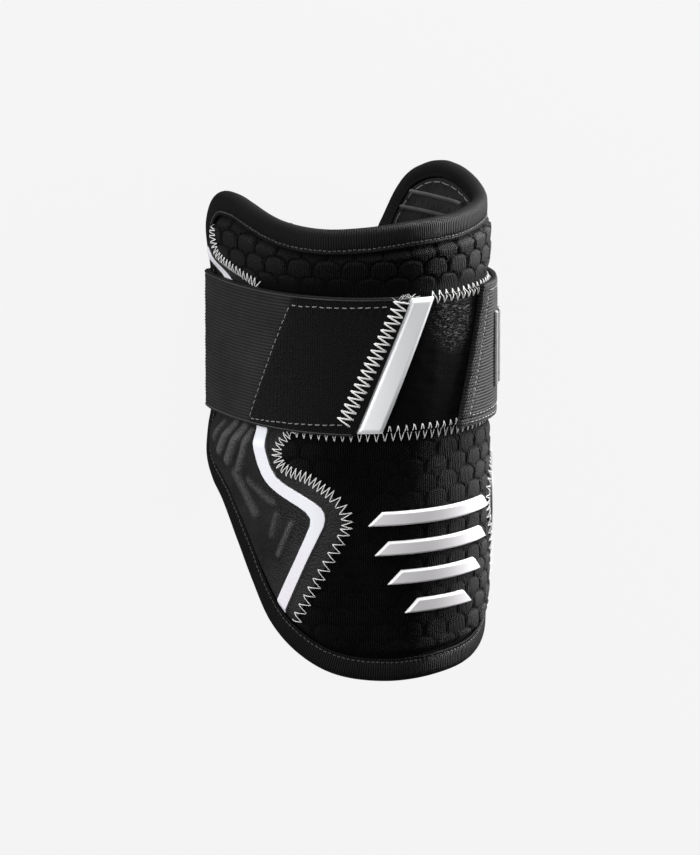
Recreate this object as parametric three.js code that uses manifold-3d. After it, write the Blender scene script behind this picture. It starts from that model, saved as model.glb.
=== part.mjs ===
// A batter's elbow guard: a padded cuff that covers the outside of the elbow, with one elastic strap
// that closes it round the arm. It lies on its open side, elbow side up.
// Millimetres. X is across the arm, +Y runs up the arm towards the shoulder, +Z is up from the surface
// that the guard lies on. The origin is on that surface, below the middle of the strap's width.
//
// The cuff bends one way only, so every sewn piece is laid out flat and then wrapped:
// "girth" is the distance round the cuff from its crown line, positive towards +X,
// "along" is the distance up the arm from the elbow line, and
// "depth" is the height above the cuff's outer face, negative towards the arm.
import * as THREE from "three";
import Module from "manifold-3d";

const wasm = await Module();
wasm.setup();

const DEGREE = Math.PI / 180;

// Sizes of the bend round the arm
const CROWN_RADIUS = 52;
const FLANK_STRAIGHT = 5.7;
const FLANK_RADIUS = 88;
const FLANK_TURN = 26.1 * DEGREE;

// Sizes of the padded body
const TOP_REACH = 104.4;
const TONGUE_REACH = 90.3;
const PAD_THICKNESS = 7.5;
const PAD_EDGE_THICKNESS = 2.6;
const PAD_EDGE_DROP = 2.6;
const SHOULDER_WIDTH = 3.4;
const INNER_SHOULDER_WIDTH = 13;
const LINING_THICKNESS = 1.2;

// Sizes of the binding tape folded over the edge
const BINDING_WIDTH = 9.6;
const BINDING_THICKNESS = 1.2;

// Sizes of the strap and of what is sewn on the front
const STRAP_LOW = 10;
const STRAP_WIDTH = 55;
const STRAP_THICKNESS = 2;
const TAB_THICKNESS = 2.4;
const PANEL_THICKNESS = 0.8;
const LOOP_PATCH_THICKNESS = 1.5;
const LOOP_PATCH_INSET = 1;
const STRIPE_THICKNESS = 0.4;
const LABEL_THICKNESS = 0.8;
const MARK_THICKNESS = 1.6;
const TAB_MARK_THICKNESS = 0.9;
const SQUEEZE_DEPTH = 3.4;
const SQUEEZE_EASE = 8;
const REAR_SPREAD = 2.2;
const SPREAD_EASE = 20;

// The gap left between two pieces that touch
const GAP = 0.3;
// and the wider one round the pad's edge in the binding's fold
const FOLD_GAP = 0.5;

// Worked out from the sizes above
const HALF_GIRTH = (CROWN_RADIUS * Math.PI) / 2 + FLANK_STRAIGHT + FLANK_RADIUS * FLANK_TURN;
const STRAP_HIGH = STRAP_LOW + STRAP_WIDTH;
const STRAP_MIDDLE = STRAP_LOW + STRAP_WIDTH / 2;
const EDGE_BOTTOM = -PAD_EDGE_DROP - PAD_EDGE_THICKNESS;
const EDGE_MIDDLE = -PAD_EDGE_DROP - PAD_EDGE_THICKNESS / 2;
const PAD_NOSE = PAD_EDGE_THICKNESS / 2;
const BINDING_NOSE = PAD_NOSE + FOLD_GAP + BINDING_THICKNESS;
const BINDING_CLEAR = BINDING_WIDTH + GAP;
const STRAP_BOTTOM = GAP + LOOP_PATCH_THICKNESS + GAP;
// Over the binding at the cuff's rear edges the strap sits this much deeper than on the front
const REAR_SQUEEZE = STRAP_BOTTOM - (EDGE_MIDDLE + BINDING_NOSE + GAP);

// The cuff's outline, laid flat. girth is a share of HALF_GIRTH, and along a share of TOP_REACH above
// the elbow line or of TONGUE_REACH below it.
const OUTLINE = [
  { girth: -1, along: 0.3453 },
  { girth: -1, along: 0.1154 },
  { girth: -0.997, along: -0.02 },
  { girth: -0.974, along: -0.135 },
  { girth: -0.914, along: -0.213 },
  { girth: -0.834, along: -0.287 },
  { girth: -0.742, along: -0.445 },
  { girth: -0.663, along: -0.608 },
  { girth: -0.574, along: -0.769 },
  { girth: -0.467, along: -0.886 },
  { girth: -0.345, along: -0.965 },
  { girth: -0.178, along: -1 },
  { girth: 0.014, along: -0.993 },
  { girth: 0.219, along: -0.956 },
  { girth: 0.391, along: -0.864 },
  { girth: 0.489, along: -0.75 },
  { girth: 0.593, along: -0.602 },
  { girth: 0.697, along: -0.42 },
  { girth: 0.803, along: -0.285 },
  { girth: 0.9, along: -0.213 },
  { girth: 0.972, along: -0.135 },
  { girth: 0.997, along: -0.02 },
  { girth: 1, along: 0.1154 },
  { girth: 1, along: 0.3453 },
  { girth: 1, along: 0.592 },
  { girth: 0.994, along: 0.6965 },
  { girth: 0.98, along: 0.7449 },
  { girth: 0.957, along: 0.809 },
  { girth: 0.928, along: 0.8652 },
  { girth: 0.894, along: 0.9126 },
  { girth: 0.858, along: 0.9442 },
  { girth: 0.821, along: 0.9649 },
  { girth: 0.781, along: 0.9826 },
  { girth: 0.739, along: 0.9935 },
  { girth: 0.695, along: 0.9994 },
  { girth: 0.65, along: 0.9965 },
  { girth: 0.602, along: 0.9876 },
  { girth: 0.543, along: 0.9708 },
  { girth: 0.449, along: 0.9452 },
  { girth: 0.35, along: 0.9304 },
  { girth: 0.25, along: 0.9215 },
  { girth: 0.17, along: 0.9136 },
  { girth: 0.108, along: 0.9067 },
  { girth: 0.03, along: 0.9027 },
  { girth: -0.08, along: 0.8958 },
  { girth: -0.237, along: 0.8781 },
  { girth: -0.36, along: 0.8692 },
  { girth: -0.458, along: 0.8751 },
  { girth: -0.539, along: 0.8889 },
  { girth: -0.636, along: 0.9165 },
  { girth: -0.687, along: 0.9343 },
  { girth: -0.742, along: 0.9501 },
  { girth: -0.805, along: 0.955 },
  { girth: -0.85, along: 0.9491 },
  { girth: -0.892, along: 0.9294 },
  { girth: -0.93, along: 0.8958 },
  { girth: -0.963, along: 0.8485 },
  { girth: -0.988, along: 0.7745 },
  { girth: -1, along: 0.592 },
];
const OUTLINE_POINTS = 220;

// Front edge of the left side panel, which the right one mirrors, from the top down
const PANEL_FRONT = [
  { along: 0.8151, girth: 0.853 },
  { along: 0.7682, girth: 0.857 },
  { along: 0.728, girth: 0.848 },
  { along: 0.705, girth: 0.822 },
  { along: 0.6743, girth: 0.749 },
  { along: 0.6494, girth: 0.685 },
  { along: 0.6284, girth: 0.632 },
  { along: 0.0939, girth: 0.482 },
  { along: 0.068, girth: 0.503 },
  { along: 0.0259, girth: 0.522 },
  { along: -0.0122, girth: 0.524 },
  { along: -0.0487, girth: 0.508 },
  { along: -0.0664, girth: 0.483 },
  { along: -0.0775, girth: 0.447 },
  { along: -0.0952, girth: 0.406 },
  { along: -0.1262, girth: 0.371 },
  { along: -0.1606, girth: 0.338 },
  { along: -0.2004, girth: 0.31 },
  { along: -0.2447, girth: 0.293 },
  { along: -0.3001, girth: 0.291 },
  { along: -0.3455, girth: 0.305 },
  { along: -0.4153, girth: 0.331 },
  { along: -0.5105, girth: 0.369 },
  { along: -0.6135, girth: 0.409 },
  { along: -0.7996, girth: 0.48 },
];
const STRIPE_LEAST_WIDTH = 1.5;
const PANEL_LEAST_WIDTH = 3;

// The left stripe, which the right one mirrors, from the top down: the girth of its two edges
const STRIPE = [
  { along: 0.728, outer: 0.917, inner: 0.885 },
  { along: 0.6992, outer: 0.908, inner: 0.862 },
  { along: 0.6705, outer: 0.893, inner: 0.838 },
  { along: 0.6418, outer: 0.861, inner: 0.806 },
  { along: 0.613, outer: 0.814, inner: 0.764 },
  { along: 0.4933, outer: 0.728, inner: 0.672 },
  { along: 0.296, outer: 0.674, inner: 0.618 },
  { along: 0.067, outer: 0.629, inner: 0.578 },
  { along: 0, outer: 0.614, inner: 0.562 },
  { along: -0.0554, outer: 0.598, inner: 0.546 },
  { along: -0.0997, outer: 0.579, inner: 0.522 },
  { along: -0.1274, outer: 0.561, inner: 0.489 },
  { along: -0.1495, outer: 0.539, inner: 0.453 },
  { along: -0.1717, outer: 0.511, inner: 0.421 },
  { along: -0.1938, outer: 0.477, inner: 0.391 },
  { along: -0.2159, outer: 0.444, inner: 0.37 },
  { along: -0.2381, outer: 0.418, inner: 0.36 },
  { along: -0.2658, outer: 0.403, inner: 0.357 },
  { along: -0.299, outer: 0.405, inner: 0.362 },
  { along: -0.3433, outer: 0.418, inner: 0.377 },
  { along: -0.4651, outer: 0.457, inner: 0.418 },
  { along: -0.7973, outer: 0.5699, inner: 0.5237 },
];

// Where the strap's pieces end on the front: girth at the strap's low and high edge, as shares of HALF_GIRTH
const SLANTS = {
  anchorSeam: { low: -0.655, high: -0.46 },
  anchorEnd: { low: -0.268, high: -0.1 },
  labelEnd: { low: -0.19, high: -0.02 },
  tabEnd: { low: 0.066, high: 0.187 },
  tabSeam: { low: 0.485, high: 0.485 },
};

// Plain raised bars on the front, from the top down, and on the strap's tab.
// along is a share of TONGUE_REACH for the bars on the front, and girth and wide are shares of HALF_GIRTH.
const FRONT_MARK_HEIGHT = 5.4;
const FRONT_MARKS = [
  { along: -0.263, wide: 0.225 },
  { along: -0.395, wide: 0.205 },
  { along: -0.526, wide: 0.165 },
  { along: -0.658, wide: 0.11 },
];
const FRONT_MARK_GIRTH = 0.02;
const TAB_MARK_WIDTH = 2.6;
const TAB_MARK_LENGTH = 30;
const TAB_MARKS = [0.27, 0.33];

// 0 below low, 1 above high, and smooth in between
function ease(low, high, value) {
  return THREE.MathUtils.smoothstep(value, low, high);
}

// A point of the bend round the arm, in X and Z from the crown's centre, with the direction of "out" there
function bend(girth) {
  const side = Math.sign(girth) || 1;
  const crownArc = (CROWN_RADIUS * Math.PI) / 2;
  let left = Math.abs(girth);
  const onCrown = Math.min(left, crownArc) / CROWN_RADIUS;
  let x = CROWN_RADIUS * Math.sin(onCrown);
  let z = CROWN_RADIUS * Math.cos(onCrown);
  let turn = onCrown - Math.PI / 2;
  left -= crownArc;
  if (left > 0) {
    z -= Math.min(left, FLANK_STRAIGHT);
    left -= FLANK_STRAIGHT;
  }
  if (left > 0) {
    turn = left / FLANK_RADIUS;
    x -= FLANK_RADIUS * (1 - Math.cos(turn));
    z -= FLANK_RADIUS * Math.sin(turn);
  }
  return { x: side * x, z, outX: side * Math.cos(turn), outZ: -Math.sin(turn) };
}

// The cuff's rear edges rest on the surface: this lifts the middle of the binding's fold
// one fold radius above it
const REAR_FOLD = bend(HALF_GIRTH - BINDING_NOSE);
const LIFT = BINDING_NOSE - (REAR_FOLD.z + EDGE_MIDDLE * REAR_FOLD.outZ);

// Where the strap passes under them the rear edges are tucked in by this girth, so that they clear it
const REAR_FOLD_TURN = Math.asin(-REAR_FOLD.outZ);
const TUCKED_TURN = Math.asin(-REAR_FOLD.outZ - (STRAP_THICKNESS + GAP) / (FLANK_RADIUS + EDGE_MIDDLE));
const TUCK = FLANK_RADIUS * (REAR_FOLD_TURN - TUCKED_TURN);

// 1 across the strap, 0 away from it
function underStrap(along) {
  const below = (along - STRAP_LOW + GAP + SQUEEZE_EASE) / SQUEEZE_EASE;
  const above = (STRAP_HIGH + GAP + SQUEEZE_EASE - along) / SQUEEZE_EASE;
  return THREE.MathUtils.clamp(Math.min(below, above), 0, 1);
}

// How far the strap presses the pad in, most on the flanks
function squeeze(girth) {
  const round = Math.abs(girth) / HALF_GIRTH;
  const rear = HALF_GIRTH - BINDING_CLEAR;
  const onFlank = SQUEEZE_DEPTH * ease(0.2, 0.6, round);
  return THREE.MathUtils.lerp(onFlank, REAR_SQUEEZE, ease(rear - 2 * SQUEEZE_EASE, rear, Math.abs(girth)));
}

// Puts a point of the flat layout in its place on the cuff
function wrap(girth, along, depth) {
  const round = Math.abs(girth);
  const tucked = TUCK * underStrap(along) * ease(HALF_GIRTH * 0.78, HALF_GIRTH - BINDING_NOSE, round);
  const away = Math.max(STRAP_LOW - GAP - along, along - STRAP_HIGH - GAP);
  const spread = REAR_SPREAD * ease(0, SPREAD_EASE, away) * ease(HALF_GIRTH * 0.6, HALF_GIRTH, round);
  const at = bend(girth - Math.sign(girth) * tucked);
  const x = at.x + depth * at.outX + Math.sign(girth) * spread;
  return new THREE.Vector3(x, along - STRAP_MIDDLE, LIFT + at.z + depth * at.outZ);
}

// The outline as points at even distances, each with the direction into the cuff
function outlinePoints() {
  const corners = OUTLINE.map(
    (row) =>
      new THREE.Vector3(row.girth * HALF_GIRTH, row.along * (row.along > 0 ? TOP_REACH : TONGUE_REACH), 0),
  );
  const curve = new THREE.CatmullRomCurve3(corners, true, "centripetal");
  const points = curve.getSpacedPoints(OUTLINE_POINTS).slice(0, -1);
  return points.map((point, i) => {
    const before = points.at(i - 1);
    const after = points[(i + 1) % points.length];
    const length = Math.hypot(after.x - before.x, after.y - before.y);
    return {
      girth: THREE.MathUtils.clamp(point.x, -HALF_GIRTH, HALF_GIRTH),
      along: point.y,
      inGirth: -(after.y - before.y) / length,
      inAlong: (after.x - before.x) / length,
    };
  });
}
const EDGE = outlinePoints();

// The nearest point of the outline, and how far it is
function nearestEdge(girth, along) {
  let best = null;
  let distance = Infinity;
  for (const point of EDGE) {
    const away = Math.hypot(point.girth - girth, point.along - along);
    if (away < distance) {
      distance = away;
      best = point;
    }
  }
  return { point: best, distance };
}

// The outline moved into the cuff
function insetOutline(inset) {
  return EDGE.map((point) => ({
    girth: point.girth + inset * point.inGirth,
    along: point.along + inset * point.inAlong,
  }));
}

// Lowest and highest point of a closed outline where one of its two coordinates has the given value
function span(outline, across, value, key) {
  let low = Infinity;
  let high = -Infinity;
  outline.forEach((from, i) => {
    const to = outline[(i + 1) % outline.length];
    const a = from[across] - value;
    const b = to[across] - value;
    if (a * b > 0 || a === b) return;
    const at = THREE.MathUtils.lerp(from[key], to[key], a / (a - b));
    low = Math.min(low, at);
    high = Math.max(high, at);
  });
  return { low, high };
}

// Depth of the pad's outer and inner face. Both close towards the edge, which the binding holds.
function padOuter(girth, along) {
  const { distance } = nearestEdge(girth, along);
  const drop = PAD_EDGE_DROP * (1 - ease(BINDING_CLEAR, BINDING_CLEAR + SHOULDER_WIDTH, distance));
  return -Math.max(drop, squeeze(girth) * underStrap(along));
}
function padInner(girth, along) {
  const { distance } = nearestEdge(girth, along);
  const full = ease(BINDING_CLEAR, BINDING_CLEAR + INNER_SHOULDER_WIDTH, distance);
  return THREE.MathUtils.lerp(EDGE_BOTTOM, -PAD_THICKNESS, full);
}

// A geometry from points and triangles
function geometryOf(points, triangles) {
  const geometry = new THREE.BufferGeometry();
  geometry.setAttribute("position", new THREE.Float32BufferAttribute(points.flatMap((p) => p.toArray()), 3));
  geometry.setIndex(triangles.flat());
  geometry.computeVertexNormals();
  return geometry;
}

// A closed solid between two grids of points, whose columns run with +girth and rows with +along.
// rim, where it is given, moves a point of the border outwards to round the border off.
function slab(columns, rows, outerAt, innerAt, rimAt = null) {
  const points = [];
  const triangles = [];
  const index = (layer, i, j) => layer * columns * rows + i * rows + j;
  for (const place of [outerAt, innerAt]) {
    for (let i = 0; i < columns; i++) {
      for (let j = 0; j < rows; j++) points.push(place(i, j));
    }
  }
  for (let i = 0; i + 1 < columns; i++) {
    for (let j = 0; j + 1 < rows; j++) {
      const outer = [index(0, i, j), index(0, i + 1, j), index(0, i + 1, j + 1), index(0, i, j + 1)];
      const inner = [index(1, i, j), index(1, i, j + 1), index(1, i + 1, j + 1), index(1, i + 1, j)];
      for (const [a, b, c, d] of [outer, inner]) triangles.push([a, b, c], [a, c, d]);
    }
  }
  const border = [];
  for (let i = 0; i + 1 < columns; i++) border.push([i, 0]);
  for (let j = 0; j + 1 < rows; j++) border.push([columns - 1, j]);
  for (let i = columns - 1; i > 0; i--) border.push([i, rows - 1]);
  for (let j = rows - 1; j > 0; j--) border.push([0, j]);
  const outerRing = border.map(([i, j]) => index(0, i, j));
  const innerRing = border.map(([i, j]) => index(1, i, j));
  const rings = [outerRing, innerRing];
  if (rimAt) {
    rings.splice(1, 0, border.map(([i, j]) => points.push(rimAt(i, j)) - 1));
  }
  for (let k = 0; k + 1 < rings.length; k++) {
    border.forEach((_, a) => {
      const b = (a + 1) % border.length;
      const [here, next] = [rings[k], rings[k + 1]];
      triangles.push([here[a], next[a], next[b]], [here[a], next[b], here[b]]);
    });
  }
  return geometryOf(points, triangles);
}

// Values from low to high in even steps
function steps(low, high, count) {
  return Array.from({ length: count + 1 }, (_, i) => low + ((high - low) * i) / count);
}

// The flat layout that the cuff's layers share. Its outer rows and columns follow the outline at set insets,
// the first only for the body, and its other rows keep to the strap's two edges and the pad's slopes there.
const INSETS = [BINDING_NOSE, BINDING_CLEAR + GAP, BINDING_CLEAR + 3.2, BINDING_CLEAR + 6.2];
const INSET_OUTLINES = INSETS.map(insetOutline);
const CROSS_COLUMNS = 26;
const STRAP_ROWS = [
  STRAP_LOW - GAP - SQUEEZE_EASE,
  STRAP_LOW - GAP,
  STRAP_MIDDLE,
  STRAP_HIGH + GAP,
  STRAP_HIGH + GAP + SQUEEZE_EASE,
];
const LEAST_COLUMN = 12;
const ROWS_BELOW = 4;
const ROWS_ABOVE = 2;

function layerColumns() {
  const reaches = INSET_OUTLINES.map((outline) => Math.max(...outline.map((point) => point.girth)) - 0.08);
  const middle = steps(-reaches.at(-1), reaches.at(-1), CROSS_COLUMNS).slice(1, -1);
  return [...reaches.map((girth) => -girth), ...middle, ...reaches.reverse()];
}

// Rows of one column: those at the insets, and even ones between the strap's edges and them
function layerRows(girth) {
  const lows = [];
  const highs = [];
  for (const outline of INSET_OUTLINES) {
    const { low, high } = span(outline, "girth", girth, "along");
    if (!(high - low > LEAST_COLUMN)) break;
    lows.push(low);
    highs.unshift(high);
  }
  const missing = INSETS.length - lows.length;
  const low = lows.pop();
  const high = highs.shift();
  const strapRows = STRAP_ROWS.map((along, i) => {
    return THREE.MathUtils.clamp(along, low + (i + 1) * 0.5, high - (STRAP_ROWS.length - i) * 0.5);
  });
  return [
    ...lows,
    ...steps(low, strapRows[0], ROWS_BELOW + missing).slice(0, -1),
    ...strapRows,
    ...steps(strapRows.at(-1), high, ROWS_ABOVE + missing).slice(1),
    ...highs,
  ];
}

const LAYER = layerColumns().map((girth) => layerRows(girth).map((along) => ({ girth, along })));

// The foam and shell body under its knitted cover. Its border is a rounded nose that fits in
// the binding's fold.
function paddedBody() {
  const at = (i, j, depthOf) => {
    const { girth, along } = LAYER[i][j];
    return wrap(girth, along, depthOf(girth, along));
  };
  return slab(
    LAYER.length,
    LAYER[0].length,
    (i, j) => at(i, j, padOuter),
    (i, j) => at(i, j, padInner),
    (i, j) => {
      const { girth, along } = LAYER[i][j];
      const { point } = nearestEdge(girth, along);
      const out = PAD_NOSE * 0.85;
      return wrap(girth - out * point.inGirth, along - out * point.inAlong, EDGE_MIDDLE);
    },
  );
}

// The perforated lining against the arm
function innerLining() {
  const grid = LAYER.slice(1, -1).map((column) => column.slice(1, -1));
  const at = (i, j, under) => {
    const { girth, along } = grid[i][j];
    return wrap(girth, along, padInner(girth, along) - under);
  };
  return slab(
    grid.length,
    grid[0].length,
    (i, j) => at(i, j, GAP),
    (i, j) => at(i, j, GAP + LINING_THICKNESS),
  );
}

// The binding's section: distance in from the outline, and depth. A tape folded over the edge.
function bindingSection() {
  const outer = steps(90, -90, 6).map((turn) => [turn * DEGREE, BINDING_NOSE]);
  const inner = steps(-90, 90, 3).map((turn) => [turn * DEGREE, BINDING_NOSE - BINDING_THICKNESS]);
  const fold = ([turn, radius]) => ({
    inset: BINDING_NOSE - radius * Math.cos(turn),
    depth: EDGE_MIDDLE + radius * Math.sin(turn),
  });
  const leg = (radius) => ({ inset: BINDING_WIDTH, depth: EDGE_MIDDLE + radius });
  return [
    leg(BINDING_NOSE),
    ...outer.map(fold),
    leg(-BINDING_NOSE),
    leg(BINDING_THICKNESS - BINDING_NOSE),
    ...inner.map(fold),
    leg(BINDING_NOSE - BINDING_THICKNESS),
  ];
}

// A closed tube: the section carried round the outline
function edgeBinding() {
  const section = bindingSection();
  const stations = EDGE.filter((_, i) => i % 2 === 0);
  const points = stations.flatMap((point) =>
    section.map(({ inset, depth }) =>
      wrap(point.girth + inset * point.inGirth, point.along + inset * point.inAlong, depth),
    ),
  );
  const triangles = [];
  const size = section.length;
  stations.forEach((_, i) => {
    const next = (i + 1) % stations.length;
    for (let k = 0; k < size; k++) {
      const l = (k + 1) % size;
      const [a, b, c, d] = [i * size + k, i * size + l, next * size + l, next * size + k];
      triangles.push([a, b, c], [a, c, d]);
    }
  });
  return geometryOf(points, triangles);
}

// A table's girth at a height, straight between its rows
function tableAt(table, edge, along) {
  const heightOf = (row) => row.along * (row.along > 0 ? TOP_REACH : TONGUE_REACH);
  const next = THREE.MathUtils.clamp(table.findIndex((row) => heightOf(row) <= along), 1, table.length - 1);
  const [above, below] = [table[next - 1], table[next]];
  const share = THREE.MathUtils.mapLinear(along, heightOf(above), heightOf(below), 0, 1);
  return HALF_GIRTH * THREE.MathUtils.lerp(above[edge], below[edge], share);
}

// The part of a cloth layer on the pad that lies inside a cutter. The layer follows the pad's own facets,
// and slivers that the cut leaves beside it are dropped.
const CUTTER_REACH = 2.5;
function cutFromLayer(bottom, thickness, cutter) {
  const grid = LAYER.slice(1, -1).map((column) => column.slice(1, -1));
  const at = (i, j, over) => {
    const { girth, along } = grid[i][j];
    return wrap(girth, along, padOuter(girth, along) + over);
  };
  const layer = slab(
    grid.length,
    grid[0].length,
    (i, j) => at(i, j, bottom + thickness),
    (i, j) => at(i, j, bottom),
  );
  const [solid, tool] = [layer, cutter].map((geometry) => {
    return new wasm.Manifold(
      new wasm.Mesh({
        numProp: 3,
        vertProperties: Float32Array.from(geometry.getAttribute("position").array),
        triVerts: Uint32Array.from(geometry.getIndex().array),
      }),
    );
  });
  const [largest] = solid.intersect(tool).decompose().sort((a, b) => b.volume() - a.volume());
  const { vertProperties, triVerts } = largest.getMesh();
  const geometry = new THREE.BufferGeometry();
  geometry.setAttribute("position", new THREE.BufferAttribute(Float32Array.from(vertProperties), 3));
  geometry.setIndex(Array.from(triVerts));
  geometry.computeVertexNormals();
  return geometry;
}

// A band of cloth on the pad between two edges given per row. side is -1 on the left and 1 on the right.
function band(heights, edgesAt, across, side, bottom, thickness) {
  const grid = heights.map((along) => {
    const ends = edgesAt(along).map((girth) => side * girth);
    return steps(Math.min(...ends), Math.max(...ends), across).map((girth) => ({ girth, along }));
  });
  const at = (i, j, over) => {
    const { girth, along } = grid[j][i];
    return wrap(girth, along, padOuter(girth, along) + over);
  };
  const cutter = slab(
    across + 1,
    grid.length,
    (i, j) => at(i, j, bottom + thickness + CUTTER_REACH),
    (i, j) => at(i, j, bottom - CUTTER_REACH),
  );
  return cutFromLayer(bottom, thickness, cutter);
}

// Rows from low to high with the strap's edges among them
function bandRows(low, high, below, above) {
  const [first, from, , to, last] = STRAP_ROWS;
  return [...steps(low, first, below), ...steps(from, to, 8), ...steps(last, high, above)];
}

// Side panel from the binding to its front edge
function sidePanel(side) {
  const outline = insetOutline(BINDING_CLEAR);
  const edgesAt = (along) => {
    const border = span(outline, "along", along, "girth");
    return [tableAt(PANEL_FRONT, "girth", along), side < 0 ? -border.low : border.high];
  };
  const wideEnough = (along) => {
    const [front, rear] = edgesAt(along);
    return rear - front > PANEL_LEAST_WIDTH;
  };
  const [low, high] = [PANEL_FRONT.at(-1).along * TONGUE_REACH, PANEL_FRONT[0].along * TOP_REACH];
  const heights = steps(low, high, 200).filter(wideEnough);
  const rows = bandRows(heights[0], heights.at(-1), 16, 4);
  return band(rows, edgesAt, 9, side, GAP, PANEL_THICKNESS);
}

// The curved stripe that lies on a side panel, passes under the strap and ends at the binding
function stripe(side) {
  const outline = insetOutline(BINDING_CLEAR + GAP);
  const edgesAt = (along) => {
    const border = span(outline, "along", along, "girth");
    const rear = side < 0 ? -border.low : border.high;
    return [tableAt(STRIPE, "inner", along), Math.min(tableAt(STRIPE, "outer", along), rear)];
  };
  const wideEnough = (along) => {
    const [inner, outer] = edgesAt(along);
    return outer - inner > STRIPE_LEAST_WIDTH;
  };
  const [low, high] = [STRIPE.at(-1).along * TONGUE_REACH, STRIPE[0].along * TOP_REACH];
  const heights = steps(low, high, 200).filter(wideEnough);
  const rows = bandRows(heights[0], heights.at(-1), 16, 2);
  return band(rows, edgesAt, 2, side, GAP + PANEL_THICKNESS + GAP, STRIPE_THICKNESS);
}

// A flat piece between two slanted ends, laid over the front at a depth that may follow the pad
function slantedPiece(start, end, low, high, columns, bottom, top) {
  const rows = 6;
  const at = (i, j, depthOf) => {
    const along = THREE.MathUtils.lerp(low, high, j / rows);
    const share = (along - STRAP_LOW) / STRAP_WIDTH;
    const from = THREE.MathUtils.lerp(start.low, start.high, share) * HALF_GIRTH;
    const to = THREE.MathUtils.lerp(end.low, end.high, share) * HALF_GIRTH;
    const girth = THREE.MathUtils.lerp(from, to, i / columns);
    return wrap(girth, along, depthOf(girth));
  };
  return slab(columns + 1, rows + 1, (i, j) => at(i, j, top), (i, j) => at(i, j, bottom));
}

// The brushed patch that the strap's hooks hold on, between the two side panels
const PATCH_LOW = STRAP_LOW + LOOP_PATCH_INSET;
const PATCH_HIGH = STRAP_HIGH - LOOP_PATCH_INSET;
function loopPatch() {
  const edgesAt = (along) => {
    const front = tableAt(PANEL_FRONT, "girth", along) - GAP;
    return [-front, front];
  };
  return band(steps(PATCH_LOW, PATCH_HIGH, 8), edgesAt, 20, 1, GAP, LOOP_PATCH_THICKNESS);
}

// The label that comes out from under the strap's sewn end
function label() {
  const clear = GAP / HALF_GIRTH;
  const end = SLANTS.labelEnd;
  const low = STRAP_BOTTOM;
  const start = { low: SLANTS.anchorEnd.low + clear, high: SLANTS.anchorEnd.high + clear };
  return slantedPiece(
    start,
    end,
    PATCH_LOW,
    PATCH_HIGH,
    3,
    (girth) => low - squeeze(girth),
    (girth) => low + LABEL_THICKNESS - squeeze(girth),
  );
}

// The woven end of the strap that is sewn down on the front
function strapAnchor() {
  return slantedPiece(
    SLANTS.anchorSeam,
    SLANTS.anchorEnd,
    STRAP_LOW,
    STRAP_HIGH,
    12,
    (girth) => STRAP_BOTTOM - squeeze(girth),
    (girth) => STRAP_BOTTOM + STRAP_THICKNESS - squeeze(girth),
  );
}

// The free end of the strap, which the wearer pulls and presses on the loop patch
function strapTab() {
  return slantedPiece(
    SLANTS.tabEnd,
    SLANTS.tabSeam,
    STRAP_LOW,
    STRAP_HIGH,
    10,
    (girth) => STRAP_BOTTOM - squeeze(girth),
    (girth) => STRAP_BOTTOM + TAB_THICKNESS - squeeze(girth),
  );
}

// The elastic: from the anchor's seam round the left flank, flat under the opening, and up to the tab
function strap() {
  const clear = GAP / HALF_GIRTH;
  const leave = HALF_GIRTH - BINDING_NOSE - TUCK;
  const fold = bend(leave);
  const foldX = fold.x + EDGE_MIDDLE * fold.outX;
  const foldZ = fold.z + EDGE_MIDDLE * fold.outZ;
  const foldTurn = Math.asin(-fold.outZ);
  const turns = steps(foldTurn, Math.PI / 2, 4).slice(1);
  const onCuff = (girth) => {
    const at = bend(girth);
    const depth = STRAP_BOTTOM - squeeze(Math.abs(girth) > leave ? leave : girth);
    return (over) => [at.x + (depth + over) * at.outX, at.z + (depth + over) * at.outZ];
  };
  const roundFold = (turn, side) => {
    const radius = STRAP_BOTTOM - squeeze(HALF_GIRTH) - EDGE_MIDDLE;
    return (over) => {
      const reach = radius + over;
      return [side * (foldX + reach * Math.cos(turn)), foldZ - reach * Math.sin(turn)];
    };
  };
  const rightEnd = SLANTS.tabSeam.low + clear;
  const path = (share) => {
    const seam = THREE.MathUtils.lerp(SLANTS.anchorSeam.low, SLANTS.anchorSeam.high, share) - clear;
    return [
      ...steps(seam * HALF_GIRTH, -leave, 16).map(onCuff),
      ...turns.map((turn) => roundFold(turn, -1)),
      ...turns.map((turn) => roundFold(turn, 1)).reverse(),
      ...steps(leave, rightEnd * HALF_GIRTH, 16).map(onCuff),
    ];
  };
  const rows = steps(1, 0, 4).map((share) => ({ share, places: path(share) }));
  const at = (i, j, over) => {
    const { share, places } = rows[j];
    const [x, z] = places[i](over);
    return new THREE.Vector3(x, (share - 0.5) * STRAP_WIDTH, LIFT + z);
  };
  return slab(
    rows[0].places.length,
    rows.length,
    (i, j) => at(i, j, STRAP_THICKNESS),
    (i, j) => at(i, j, 0),
  );
}

// A raised bar with bevelled ends and edges, laid on the face at the given depth
function raisedBar(girth, along, wide, tall, depth, thickness, ends) {
  const bevel = thickness / 2;
  const columns = steps(-wide, wide, Math.max(2, Math.round(wide / 3)));
  const edge = (i, j, grow) => {
    const end = Math.sign(columns[i]) * (Math.abs(columns[i]) === wide ? grow - ends * (j - 0.5) : 0);
    return [girth + columns[i] + end, along + (j - 0.5) * (tall + 2 * grow)];
  };
  const at = (i, j, over, grow) => {
    const [g, a] = edge(i, j, grow);
    return wrap(g, a, depth(g, a) + over);
  };
  return slab(
    columns.length,
    2,
    (i, j) => at(i, j, thickness, -bevel),
    (i, j) => at(i, j, 0, 0),
    (i, j) => at(i, j, thickness * 0.5, 0),
  );
}

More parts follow.
